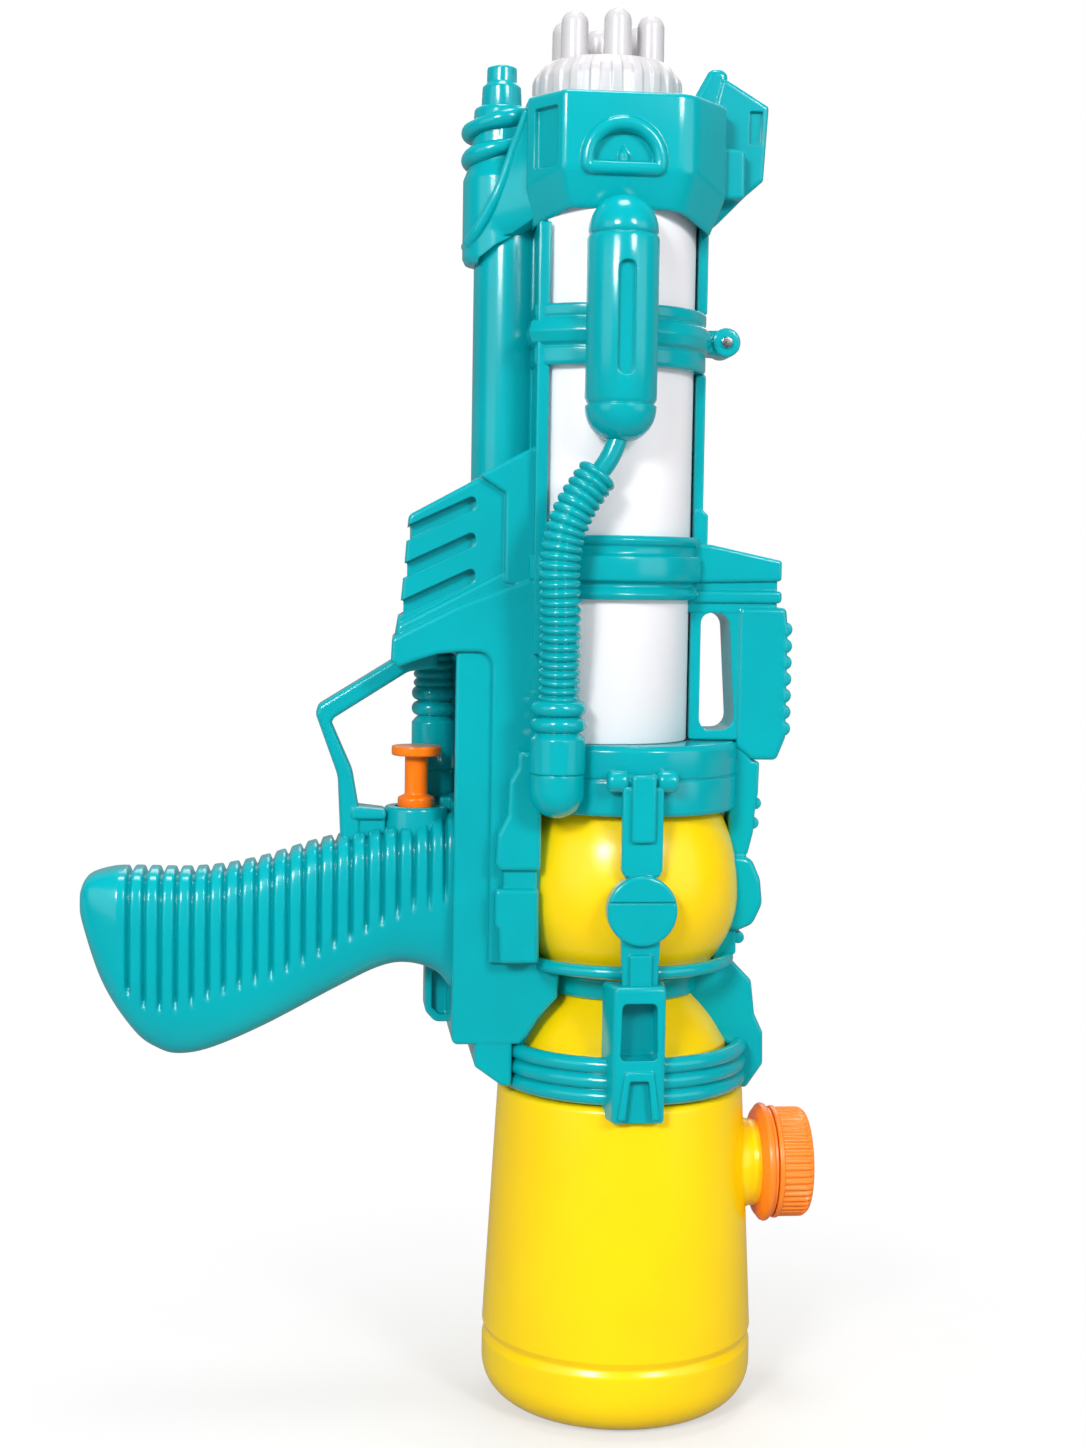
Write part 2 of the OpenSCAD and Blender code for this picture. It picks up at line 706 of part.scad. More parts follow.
module muzzle_half() {
    difference() {
        muzzle_skin();
        sleeve_solid(seat, 0, sleeve_top + seat);
        translate([barrel_x, 0, sleeve_top - 1])
            cylinder(r = sleeve_r - 2, h = housing_rise - plate_h + 1);
        translate([barrel_x, 0, 0]) cylinder(r = axle_r + run_gap, h = big);
        translate([pipe_x, 0, 0]) {
            cylinder(r = pipe_r + seat, h = housing_z + pipe_lap + seat);
            cylinder(r = pipe_r - casing_wall, h = nozzle_top - 6);
            cylinder(r = tube_r + run_gap, h = big);
        }
        translate([gauge_x, -housing_d + gauge_sink, gauge_z]) rotate([90, 0, 0])
            linear_extrude(big / 50) gauge_opening();
        translate([31.8, -sight_d - 1, housing_top - 9]) cube(sight_slot);
        translate([-31.6, -23, housing_top - 20.5]) rotate([0, 0, -54])
            translate([1.6, -1.6, 0]) cube(side_slot);
    }
    translate([gauge_x, -housing_d + gauge_sink + 0.2, gauge_z + 2.6]) rotate([90, 0, 0])
        cylinder(r1 = 2, r2 = 0.4, h = 2.6);
}

module muzzle_front() {
    color(teal) muzzle_half();
}

module muzzle_back() {
    color(teal) mirror([0, 1, 0]) muzzle_half();
}

// Muzzle ring with its pegs, turning on an axle through the housing's top

ring_z = housing_top + clear_gap;
axle_len = plate_h + clear_gap + 2;
clip_h = 1.6;
flute_r = 1.5;
disc_drop = 3;
peg_top = peg_h + disc_drop + 1;
peg_turn = 5;

module muzzle_cluster() {
    color(white) translate([barrel_x, 0, ring_z]) {
        difference() {
            union() {
                linear_extrude(cluster_h - 1.5) difference() {
                    circle(cluster_r);
                    for (i = [0 : flute_count - 1]) rotate(i * 360 / flute_count)
                        translate([cluster_r + 0.5, 0]) circle(flute_r, $fn = 20);
                }
                cylinder(r1 = cluster_r - 1.5, r2 = cluster_r - 2.3, h = cluster_h);
            }
            translate([0, 0, cluster_h - disc_drop]) cylinder(r = cluster_r - 3.6, h = disc_drop + 1);
        }
        for (i = [0 : peg_count - 1]) rotate(i * 360 / peg_count - 90 + peg_turn)
            translate([peg_circle, 0, cluster_h - disc_drop - 1]) rotate_extrude()
                polygon(concat([[0, 0], [peg_r, 0]], arc(0, peg_top - peg_r, peg_r, 0, 90, 10)));
        translate([0, 0, -axle_len]) cylinder(r = axle_r, h = axle_len + 1);
    }
}

module cluster_clip() {
    color(white) translate([barrel_x, 0, housing_top - plate_h - clear_gap - clip_h])
        pipe(axle_r + 4, axle_r + run_gap, clip_h);
}

tip_r = 5.5;
tip_h = 11.4;
tip_step = 6.4;
tip_top_r = 4.3;
jet_r = 0.8;
tube_lap = 3.5;

module nozzle_tip() {
    color(teal) translate([pipe_x, 0, nozzle_top]) difference() {
        union() {
            cylinder(r = tip_r, h = tip_step);
            cylinder(r = tip_top_r, h = tip_h);
            translate([0, 0, tip_step - 1]) cylinder(r1 = tip_r + 0.4, r2 = tip_r - 0.4, h = 1);
        }
        translate([0, 0, -1]) cylinder(r = tube_r + run_gap, h = tube_lap + 1.5);
        cylinder(r = jet_r, h = 2 * tip_h);
        translate([0, 0, tip_h - 1.2]) cylinder(r1 = jet_r, r2 = 3 * jet_r, h = 1.6);
    }
}

module delivery_tube() {
    start = valve_z + valve_len - socket + seat;
    color(clear) translate([pipe_x, 0, start]) pipe(tube_r, tube_bore, nozzle_top + tube_lap - start);
}

// Clamp ring round the sleeve

clamp_z = sleeve_top - 57;
clamp_h = 17;
clamp_bead = 2.6;
lug_x = 26.4;
lug_z = clamp_z + 9.4;
lug_r = 4.2;
lug_pin_r = 1.5;
clamp_left = flat_x - 2.9;

module clamp_outline(g) {
    intersection() {
        translate([barrel_x, 0]) circle(clamp_r + g);
        translate([clamp_left - g, -big / 2]) square(big);
    }
}

module clamp_shape(g) {
    translate([0, 0, clamp_z - g]) linear_extrude(clamp_h + 2 * g) clamp_outline(g);
    intersection() {
        turned(barrel_x) translate([clamp_r - 0.6, clamp_z + clamp_h / 2]) circle(clamp_bead + g);
        translate([clamp_left - g, -big / 2, 0]) cube(big);
    }
}

module clamp_half() {
    near_half() difference() {
        union() {
            clamp_shape(0);
            translate([lug_x, 0, lug_z]) rotate([90, 0, 0]) cylinder(r = lug_r, h = 6);
            translate([18, -6, lug_z - 3]) cube([lug_x - 18, 6, 6]);
        }
        sleeve_solid(seat, 0, big);
        translate([lug_x, 10, lug_z]) rotate([90, 0, 0]) cylinder(r = lug_pin_r + seat, h = 20);
        turned(barrel_x) translate([clamp_r + 0.1, clamp_z + 2.6]) circle(0.9);
        turned(barrel_x) translate([clamp_r + 0.1, clamp_z + clamp_h - 2.6]) circle(0.9);
        near_box(15, barrel_x + sleeve_r + 4, 6.2, clamp_z - 1, lug_z - 3.2, seat);
    }
}

module clamp_front() {
    color(teal) clamp_half();
}

module clamp_back() {
    color(teal) mirror([0, 1, 0]) clamp_half();
}

module clamp_pin() {
    color(steel) translate([lug_x, 7.2, lug_z]) rotate([90, 0, 0]) {
        cylinder(r = lug_pin_r, h = 14.4);
        cylinder(r1 = 1.6, r2 = 2.4, h = 1.2);
        translate([0, 0, 13.2]) cylinder(r1 = 2.4, r2 = 1.6, h = 1.2);
    }
}

// Carry handle: band round the sleeve, bridge, loop and right rail

band_z = 238;
band_h = 18;
band_bead = 1.5;
loop_left = barrel_x + sleeve_r + clear_gap;
loop_right = 47;
loop_z = 191.2;
loop_top = 236.5;
window_left = 20.2;
window_right = 31.4;
window_z = 199.5;
window_top = 234.2;
bump_count = 7;
bump_r = 2.4;
bump_z = 200.5;
bump_pitch = 4.6;
rail_right = 20.4;
rail_d = 6;
step_z = 264;

module band_outline(g) {
    intersection() {
        translate([barrel_x, 0]) circle(band_r + g);
        translate([rec_right + clear_gap - 1.4, -big / 2]) square(big);
    }
}

module handle_profile() {
    difference() {
        union() {
            soft(1.5) polygon([[loop_left, sleeve_z], [33.4, sleeve_z], [33.4, loop_z], [43.2, loop_z],
                [loop_right, loop_z + 5.4], [loop_right, 230], [45.4, loop_top + 1], [45, 248.2], [23, 253.6],
                [loop_left, 253.6]]);
            for (i = [0 : bump_count - 1])
                translate([loop_right - 1.4, bump_z + i * bump_pitch]) circle(bump_r);
        }
        translate([window_left, window_z]) soft(3)
            square([window_right - window_left, window_top - window_z]);
    }
}

module handle_half() {
    difference() {
        union() {
            near_half() {
                translate([0, 0, band_z]) linear_extrude(band_h) band_outline(-1.4);
                translate([0, 0, band_z + 5]) linear_extrude(7.6) band_outline(0);
                for (z = [band_z + band_bead, band_z + band_h - band_bead]) intersection() {
                    turned(barrel_x) translate([band_r - 1.4, z]) circle(band_bead);
                    translate([rec_right - 1.4, -big / 2, 0]) cube(big);
                }
            }
            slab(-handle_d, 0) handle_profile();
            slab(-handle_d - 1.6, 0) polygon([[22, 243], [45, 241], [45, 247], [22, 250.4]]);
            near_box(loop_left, rail_right, rail_d, band_z + band_h - 1, clamp_z - seat);
            near_box(loop_left, rail_right + 1.6, rail_d, band_z + band_h - 1, step_z);
        }
        sleeve_solid(seat, 0, big);
        clamp_shape(seat);
        near_box(rec_right - 10, rec_right + clear_gap, receiver_d + 3, 0, big, seat);
    }
}

module handle_front() {
    color(teal) handle_half();
}

module handle_back() {
    color(teal) mirror([0, 1, 0]) handle_half();
}

// Tank cradle: collar, waist ring, hoops and right spine

collar_z = 177;
collar_seam = 187;
collar_wall = 2.6;
collar_lip = bulb_r - 5;
collar_top = 2.6;
waist_ring_r = 31;
waist_ring_z = 132.6;
waist_bead = 1.9;
waist_band = waist_z - 3.2;
waist_band_h = 5.8;
waist_band_r = waist_r + 2.5;
hoop_r = hoop_seat_r + hoop_bead + 0.2;
spine = [[28, 190.6], [38.8, 190.6], [39.2, 168], [40, 151], [37.2, 142], [33, 139.4], [33, 134.5],
    [36.4, 129], [39, 119.6], [41.9, 108], [41.9, 98], [38.4, 93.2], [35, 92.6], [28, 97]];
waist_web = [[waist_r - 1, 131], [33.4, 131], [37.6, 126.4], [38.8, 116], [36, 106], [27, 108], [waist_r - 1, 118]];

module rings_space() {
    rotate_extrude($fn = 48) {
        for (i = [-1 : 1])
            translate([hoop_r, hoop_z + i * hoop_pitch]) circle(hoop_bead + clear_gap, $fn = 16);
        translate([0, hoop_z - hoop_pitch]) square([hoop_r, 2 * hoop_pitch]);
        translate([waist_ring_r, waist_ring_z]) circle(waist_bead + clear_gap, $fn = 16);
        translate([0, waist_band - clear_gap])
            square([waist_band_r + clear_gap, waist_band_h + 2 * clear_gap]);
    }
}

module cradle_half() {
    near_half() difference() {
        union() {
            turned() polygon([[collar_lip, collar_z], [collar_r - 0.8, collar_z], [collar_r, collar_z + 0.8],
                [collar_r, collar_seam - 0.5], [collar_r - 0.7, collar_seam], [collar_r, collar_seam + 0.5],
                [collar_r, sleeve_z - 1 - seat], [collar_r - 1, sleeve_z - seat],
                [mouth_r + 3, sleeve_z - seat], [mouth_r + 3, sleeve_z - collar_top],
                [collar_r - collar_wall, sleeve_z - collar_top], [collar_r - collar_wall, collar_z + 2],
                [collar_lip, collar_z + 2]]);
            turned() {
                translate([waist_ring_r, waist_ring_z]) circle(waist_bead);
                translate([waist_r - 1, waist_band]) square([waist_band_r - waist_r + 1, waist_band_h]);
                for (i = [-1 : 1]) translate([hoop_r, hoop_z + i * hoop_pitch]) circle(hoop_bead);
            }
            slab(-spine_d, 0) soft(1) polygon(spine);
            slab(-spine_d - 3, 0) translate([31, 151]) circle(9);
            slab(-spine_d - 2, 0) soft(1) polygon(waist_web);
        }
        turned() polygon(concat([[0, 0]], tank_side(clear_gap),
            [[mouth_r + clear_gap, mouth_z + 5], [0, mouth_z + 5]]));
        translate([0, 0, collar_z]) cylinder(r = collar_lip, h = sleeve_z - collar_top - collar_z);
    }
}

module cradle_front() {
    color(teal) cradle_half();
}

module cradle_back() {
    color(teal) mirror([0, 1, 0]) cradle_half();
}

// Strap down the front of the tank, hung on two knuckles of the collar

strap_y = -bulb_r - clear_gap;
strap_t = 2.4;
knuckle_r = 3.2;
knuckle_w = 6;
knuckle_x = 7;
knuckle_z = 187.4;
knuckle_y = -collar_r - 1.4;
disc_z = 151.4;
disc_r = 9.9;

module strap_plate(y0, y1, x, z0, z1) {
    slab(y0, y1) translate([-x, z0]) soft(1) square([2 * x, z1 - z0]);
}

module tank_strap() {
    color(teal) difference() {
        union() {
            for (s = [-1, 1]) translate([s * knuckle_x - knuckle_w / 2, knuckle_y, knuckle_z])
                rotate([0, 90, 0]) cylinder(r = knuckle_r, h = knuckle_w);
            translate([-knuckle_x, knuckle_y, knuckle_z]) rotate([0, 90, 0])
                cylinder(r = knuckle_r - 1.2, h = 2 * knuckle_x);
            strap_plate(strap_y - strap_t - 1.8, strap_y - 0.5, 3.4, 169.5, knuckle_z + 2);
            strap_plate(strap_y - strap_t, strap_y, 5.9, disc_z + disc_r - 1, knuckle_z - 2);
            slab(strap_y - strap_t - 2.4, strap_y) translate([0, disc_z]) circle(disc_r);
            slab(strap_y - strap_t - 3, strap_y) intersection() {
                translate([0, disc_z]) circle(disc_r);
                translate([-disc_r, disc_z + 2.4]) square(2 * disc_r);
            }
            strap_plate(strap_y - strap_t, strap_y, 5.4, buckle_top - 3, disc_z);
            strap_plate(strap_y - strap_t - 1.4, strap_y, 3, buckle_top - 2, disc_z - disc_r - 2);
        }
        translate([0, 0, collar_z - seat]) cylinder(r = collar_r + seat, h = 40);
        turned() translate([waist_ring_r, waist_ring_z]) circle(waist_bead + seat);
    }
}

buckle_x = 7;
buckle_z = 91.3;
buckle_top = 130.6;
buckle_y = -tank_top_r - clear_gap;
buckle_t = 4;
gusset_z = 109.6;
gusset_d = 5;

module strap_buckle() {
    color(teal) difference() {
        union() {
            slab(buckle_y - buckle_t, buckle_y) difference() {
                soft(1.6) polygon([[-buckle_x - 0.4, buckle_z], [buckle_x + 0.4, buckle_z], [buckle_x, 112],
                    [buckle_x, buckle_top], [-buckle_x, buckle_top], [-buckle_x, 112]]);
                translate([-5.2, 109]) soft(1.4) square([10.4, 16]);
            }
            for (s = [-1, 1]) translate([s * (buckle_x - 0.9) - 0.9, buckle_y - 1, gusset_z])
                cube([1.8, gusset_d + 1, buckle_top - 1.6 - gusset_z]);
            translate([-buckle_x + 0.4, buckle_y - 1, gusset_z]) cube([2 * buckle_x - 0.8, 3.4, 4.4]);
            slab(buckle_y - buckle_t - 1, buckle_y - 1) polygon([[-3.6, 106.5], [3.6, 106.5],
                [6.4, buckle_z + 0.6], [3.4, buckle_z + 0.6], [1.8, 103], [-1.8, 103],
                [-3.4, buckle_z + 0.6], [-6.4, buckle_z + 0.6]]);
        }
        strap_plate(strap_y - strap_t - 1.4 - seat, strap_y + seat, 5.4 + seat,
            buckle_top - 3 - seat, buckle_top + 5);
    }
}

// Capsule on the sleeve's side

capsule_x = -8;
capsule_y = -33;
cap_step = 0.8;
capsule_slot = 19.5;

module side_capsule() {
    color(teal) difference() {
        translate([capsule_x, capsule_y, capsule_z]) union() {
            turned() intersection() {
                hull() for (z = [capsule_r, capsule_len - capsule_r]) translate([0, z]) circle(capsule_r);
                square([capsule_r, capsule_len]);
            }
            translate([0, 0, 12.4]) cylinder(r = capsule_r - cap_step / 2, h = capsule_len - 22);
        }
        difference() {
            translate([capsule_x, capsule_y, capsule_z + 10.6]) cylinder(r = capsule_r + 1, h = 1);
            translate([capsule_x, capsule_y, capsule_z]) cylinder(r = capsule_r - cap_step, h = capsule_len);
        }
        difference() {
            translate([capsule_x, capsule_y, capsule_z + capsule_len - 10])
                cylinder(r = capsule_r + 1, h = 1);
            translate([capsule_x, capsule_y, capsule_z]) cylinder(r = capsule_r - cap_step, h = capsule_len);
        }
        hull() for (z = [capsule_slot, capsule_len - capsule_slot])
            translate([capsule_x, capsule_y - capsule_r + 1.6, capsule_z + z]) rotate([90, 0, 0])
                cylinder(r = 2.6, h = 4);
        sleeve_solid(seat, 0, big);
        clamp_shape(seat);
        translate([0, 0, housing_z - seat]) linear_extrude(20) offset(seat) polygon(facet);
    }
}

// Ribbed hose from the capsule to its cup

cup_x = -23.7;
cup_y = -31;
cup_z = 176.6;
cup_r = 7.8;
cup_top = 209.6;
sides = 8;

// Places along the hose in X and Y, and as a share of the way from the cup up to the capsule
hose_places = [[-8, -34, 0.992], [-8.2, -34.6, 0.924], [-11.2, -35.4, 0.838], [-16.4, -36, 0.742],
    [-21, -36, 0.636], [-23.4, -35.8, 0.51], [-23.8, -35, 0.37], [-23.8, -33, 0.2], [cup_x, cup_y, 0.055],
    [cup_x, cup_y, 0.004]];
hose_route = [for (p = hose_places) [p[0], p[1], cup_top + p[2] * (capsule_z - cup_top)]];

function unit(v) = v / norm(v);

// A ring of points about a point of the route, square to its direction
function ring_at(p, d, r) = let (a = unit(cross(d, [0, 1, 0])), b = cross(a, d))
    [for (i = [0 : sides - 1]) p + r * (cos(i * 360 / sides) * a + sin(i * 360 / sides) * b)];

function along(route, i) = let (n = len(route) - 1) unit(route[min(i + 1, n)] - route[max(i - 1, 0)]);

// Open tube with a bore from outer rings and inner rings
module bored_tube(outer, inner) {
    n = sides;
    m = len(outer);
    k = m * n;
    polyhedron(
        concat([for (r = outer) each r], [for (r = inner) each r]),
        concat(
            [for (i = [0 : m - 2]) for (j = [0 : n - 1]) let (a = i * n + j, b = i * n + (j + 1) % n)
                each [[a, b, b + n], [a, b + n, a + n]]],
            [for (i = [0 : m - 2]) for (j = [0 : n - 1]) let (a = k + i * n + j, b = k + i * n + (j + 1) % n)
                each [[a, b + n, b], [a, a + n, b + n]]],
            [for (j = [0 : n - 1]) let (j2 = (j + 1) % n) each [[j, k + j2, j2], [j, k + j, k + j2]]],
            [for (j = [0 : n - 1]) let (a = (m - 1) * n + j, b = (m - 1) * n + (j + 1) % n)
                each [[a, b, k + b], [a, k + b, k + a]]]));
}

// Points of a route with the radius at each: a rib and the hollow after it, past a plain start
function hose_rings(route, plain) = let (n = len(route) - 1)
    [for (i = [0 : n]) let (rib = i > plain && i < n && (i - plain) % 2 == 1)
        [route[i], along(route, i), rib ? rib_r : hose_r]];

hose_plain = 6;
hose_steps = ceil((2 * rib_count + hose_plain) / (len(hose_route) - 1));
hose_path = curve(hose_route, hose_steps);

module ribbed_hose(path, plain) {
    rings = hose_rings(path, plain);
    bored_tube([for (r = rings) ring_at(r[0], r[1], r[2])], [for (r = rings) ring_at(r[0], r[1], hose_bore)]);
}

module corrugated_hose() {
    color(teal) ribbed_hose(hose_path, hose_plain);
}

// A cup with two thick rings that the end of a hose stands on
module hose_socket(r, z0, z1) {
    rotate_extrude() difference() {
        union() {
            translate([0, z0 + r * 0.6]) square([r - 0.6, z1 - z0 - r * 0.6]);
            intersection() {
                translate([0, z0 + r * 0.6]) scale([1, 0.6]) circle(r - 0.6);
                translate([0, z0]) square(r * 2);
            }
            for (z = [z1 - 2.3, z1 - 6.8]) translate([r - 2.2, z]) circle(2.2);
            translate([0, z0 + 12.4]) square([r, z1 - z0 - 21.5]);
        }
        translate([-r, 0]) square([r, z1 + 1]);
        translate([-1, z1 - 4]) square([hose_bore + 1, 5]);
    }
}

module hose_cup() {
    color(teal) difference() {
        translate([cup_x, cup_y, 0]) hose_socket(cup_r, cup_z, cup_top);
        cylinder(r = collar_r + seat, h = sleeve_z);
        sleeve_solid(seat, 0, big);
    }
}

// Second hose, on the far side of the trigger bay

back_hose_x = -56.2;
back_hose_y = 14.6;
back_cup_r = 6.3;
back_cup_z = 174.8;
back_cup_top = 211;
back_hose_len = 7.2;
back_hose_end = back_cup_top + back_hose_len;
hose_room = 4.1;
back_steps = 8;
back_start = back_cup_top + 2 * seat;
back_path = [for (i = [0 : back_steps])
    [back_hose_x, back_hose_y, back_start + (back_hose_end - back_start) * i / back_steps]];

module back_hose() {
    color(teal) ribbed_hose(back_path, 1);
}

module back_hose_cup() {
    color(teal) translate([back_hose_x, back_hose_y, 0]) hose_socket(back_cup_r, back_cup_z, back_cup_top);
}

// Pump: cylinder, trigger, piston, spring and valves

pump_floor = pump_z - pump_len + 3;
port_z = pump_floor + 3.4;
port_r = tube_bore - run_gap;
port_bore = 0.9;
rod_r = 2.4;
piston_h = 8;
piston_z = pump_z - 18.4;
flange_r = pump_bore - 0.8;
flange_h = 3.2;
head_t = 3.9;
ball_r = 1.8;
ball_room = 2.1;
seat_bore = 1.2;
seat_rise = sqrt(ball_r * ball_r - seat_bore * seat_bore);
inlet_seat = spur_end - socket - 1;
outlet_seat = valve_z + 18;
room_len = 5;

module pump_cylinder() {
    color(teal) difference() {
        union() {
            translate([trigger_x, 0, pump_z - pump_len]) cylinder(r = pump_r, h = pump_len);
            translate([trigger_x, 0, port_z]) rotate([0, 90, 0])
                cylinder(r = port_r, h = riser_start + socket - trigger_x);
        }
        translate([trigger_x, 0, pump_floor]) cylinder(r = pump_bore, h = pump_len);
        translate([trigger_x, 0, port_z]) rotate([0, 90, 0]) cylinder(r = port_bore, h = 30);
    }
}

module trigger() {
    z = pump_z;
    color(orange) turned(trigger_x) polygon(concat(
        [[0, piston_z + piston_h], [rod_r, piston_z + piston_h], [rod_r, z - 0.8], [flange_r, z - 0.8],
         [flange_r, z - 0.8 + flange_h], [stem_r, z + flange_h + 0.4], [stem_r, z + trigger_h - head_t - 0.6],
         [finger_r - 1.2, z + trigger_h - head_t]],
        arc(finger_r - 1.2, z + trigger_h - head_t + 1.2, 1.2, -90, 0, 4),
        arc(finger_r - 1.2, z + trigger_h - 1.2, 1.2, 0, 90, 4),
        [[0, z + trigger_h - 0.3]]));
}

module piston() {
    color(white) difference() {
        translate([trigger_x, 0, piston_z]) cylinder(r = pump_bore - run_gap, h = piston_h);
        turned(trigger_x) translate([pump_bore - 0.9, piston_z + 4]) circle(1);
    }
}

module piston_ring() {
    color(rubber) turned(trigger_x) translate([pump_bore - run_gap - 0.85, piston_z + 4]) circle(0.85);
}

spring_wire = 0.5;
spring_r = 4.6;
spring_turns = 6;
spring_sides = 6;
spring_steps = 8;

module pump_spring() {
    z0 = pump_floor + spring_wire + seat;
    rise = piston_z - seat - spring_wire - z0;
    total = spring_turns * spring_steps;
    rings = [for (i = [0 : total]) let (t = 360 * i / spring_steps, z = z0 + rise * i / total)
        [for (j = [0 : spring_sides - 1])
            let (b = 360 * j / spring_sides, r = spring_r + spring_wire * cos(b))
            [trigger_x + r * cos(t), r * sin(t), z + spring_wire * sin(b)]]];
    color(steel) loft(rings);
    echo("least gap between spring turns", rise / spring_turns - 2 * spring_wire);
}

module valve_block() {
    bore_r = tube_r + run_gap;
    color(white) difference() {
        union() {
            translate([pipe_x, 0, valve_z]) cylinder(r = valve_r, h = valve_len);
            translate([pipe_x, 0, tube_top]) rotate([0, 90, 0]) cylinder(r = spur_r, h = spur_end - pipe_x);
        }
        translate([pipe_x, 0, valve_z - 1]) cylinder(r = bore_r, h = socket + 1);
        translate([pipe_x, 0, valve_z]) cylinder(r = seat_bore, h = valve_len);
        translate([pipe_x, 0, outlet_seat]) cylinder(r = ball_room, h = room_len);
        translate([pipe_x, 0, valve_z + valve_len - socket]) cylinder(r = bore_r, h = socket + 1);
        translate([pipe_x, 0, tube_top]) rotate([0, 90, 0]) cylinder(r = seat_bore, h = spur_end - pipe_x);
        translate([inlet_seat - room_len, 0, tube_top]) rotate([0, 90, 0])
            cylinder(r = ball_room, h = room_len);
        translate([spur_end - socket, 0, tube_top]) rotate([0, 90, 0]) cylinder(r = bore_r, h = socket + 1);
    }
}

module inlet_ball() {
    color(steel) translate([inlet_seat - seat_rise - ball_r / 2, 0, tube_top - ball_room + ball_r])
        sphere(ball_r);
}

module outlet_ball() {
    color(steel) translate([pipe_x, 0, outlet_seat + seat_rise]) sphere(ball_r);
}

tank();
tank_upper();
filler_spout();
tank_bung();
bung_gasket();
suction_tube();
pump_riser();
neck_ring();
filler_cap();
cap_liner();
barrel_sleeve();
casing_front();
casing_back();
case_screws();
muzzle_front();
muzzle_back();
muzzle_cluster();
cluster_clip();
nozzle_tip();
delivery_tube();
clamp_front();
clamp_back();
clamp_pin();
handle_front();
handle_back();
cradle_front();
cradle_back();
tank_strap();
strap_buckle();
side_capsule();
corrugated_hose();
hose_cup();
back_hose();
back_hose_cup();
pump_cylinder();
trigger();
piston();
piston_ring();
pump_spring();
valve_block();
inlet_ball();
outlet_ball();
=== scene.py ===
# %% [markdown]
# # A toy water squirter in glossy plastic
# The toy stands muzzle-up on its yellow bottle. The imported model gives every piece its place, so the first
# step loads it and keeps its box. All sizes below are in millimetres and become metres when a mesh is made.

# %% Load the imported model
import json
import math

import bmesh
import bpy
import numpy as np
from mathutils import Matrix


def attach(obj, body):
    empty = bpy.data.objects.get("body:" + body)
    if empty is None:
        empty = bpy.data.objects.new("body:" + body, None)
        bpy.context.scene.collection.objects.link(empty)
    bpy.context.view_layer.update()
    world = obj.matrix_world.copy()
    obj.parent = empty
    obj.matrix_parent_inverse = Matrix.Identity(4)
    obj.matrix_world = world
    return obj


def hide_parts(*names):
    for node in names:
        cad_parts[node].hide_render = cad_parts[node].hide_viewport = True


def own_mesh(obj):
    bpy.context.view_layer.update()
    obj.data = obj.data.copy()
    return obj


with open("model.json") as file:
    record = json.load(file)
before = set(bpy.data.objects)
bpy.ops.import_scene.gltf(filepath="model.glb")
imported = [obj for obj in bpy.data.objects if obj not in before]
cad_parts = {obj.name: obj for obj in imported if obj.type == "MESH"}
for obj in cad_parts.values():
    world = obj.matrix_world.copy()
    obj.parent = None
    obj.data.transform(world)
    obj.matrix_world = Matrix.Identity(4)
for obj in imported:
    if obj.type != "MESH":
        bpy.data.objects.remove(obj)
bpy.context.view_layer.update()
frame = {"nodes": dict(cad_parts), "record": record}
MM = 0.001

# %% [markdown]
# ## Outlines
# Moulded plastic has no truly sharp corner. An outline is written as a few corner points, and every corner is
# then replaced by an arc that touches both edges. Moving an outline inwards along its mitres gives the
# shrinking loops that round off the face of a block.

# %% Rounded outlines
def full_turn(steps):
    """Angles once round, evenly spaced, without the last one that is the first again."""
    return np.linspace(0, 2 * np.pi, steps, endpoint=False)


def arc(angle, x, y, across, up):
    """Points of an ellipse about (x, y): (x + across cos a, y + up sin a)."""
    return np.stack([x + across * np.cos(angle), y + up * np.sin(angle)], 1)


def rect(x0, y0, x1, y1):
    """Corners of an upright rectangle."""
    return [(x0, y0), (x1, y0), (x1, y1), (x0, y1)]


def signed_area(points):
    """Twice the area of an outline, negative if it runs clockwise: the sum of x * next y - y * next x."""
    ahead = np.roll(points, -1, 0)
    return (points[:, 0] * ahead[:, 1] - points[:, 1] * ahead[:, 0]).sum()


def corner_arcs(before, corner, after, radius, steps):
    """Arc at each corner: its centre lies on the corner's bisector, radius / sin(half angle) away."""
    to_before, to_after = before - corner, after - corner
    reach_before = np.linalg.norm(to_before, axis=1)
    reach_after = np.linalg.norm(to_after, axis=1)
    to_before = to_before / reach_before[:, None]
    to_after = to_after / reach_after[:, None]
    half = np.arccos(np.clip((to_before * to_after).sum(1), -0.999999, 0.999999)) / 2
    cut = np.minimum(radius / np.tan(half), 0.48 * np.minimum(reach_before, reach_after))
    middle = to_before + to_after
    middle = middle / np.linalg.norm(middle, axis=1)[:, None]
    centre = corner + middle * (cut / np.cos(half))[:, None]
    start = corner + to_before * cut[:, None] - centre
    end = corner + to_after * cut[:, None] - centre
    turn = (np.pi - 2 * half)[:, None]
    share = np.linspace(0, 1, steps)[None]
    weight_start = (np.sin((1 - share) * turn) / np.sin(turn))[..., None]
    weight_end = (np.sin(share * turn) / np.sin(turn))[..., None]
    return centre[:, None] + weight_start * start[:, None] + weight_end * end[:, None]


def round_loop(points, radius=2.0, steps=6):
    """Closed outline with arcs for corners, turned to run anticlockwise."""
    points = np.asarray(points, float)
    radius = np.broadcast_to(np.asarray(radius, float), len(points))
    if signed_area(points) < 0:
        points, radius = points[::-1], radius[::-1]
    arcs = corner_arcs(np.roll(points, 1, 0), points, np.roll(points, -1, 0), radius, steps)
    return arcs.reshape(-1, 2)


def round_line(points, radius=1.0, steps=6):
    """Open outline: the two ends stay, and each corner between them becomes an arc."""
    points = np.asarray(points, float)
    radius = np.broadcast_to(np.asarray(radius, float), len(points) - 2)
    arcs = corner_arcs(points[:-2], points[1:-1], points[2:], radius, steps)
    return np.vstack([points[:1], arcs.reshape(-1, 2), points[-1:]])


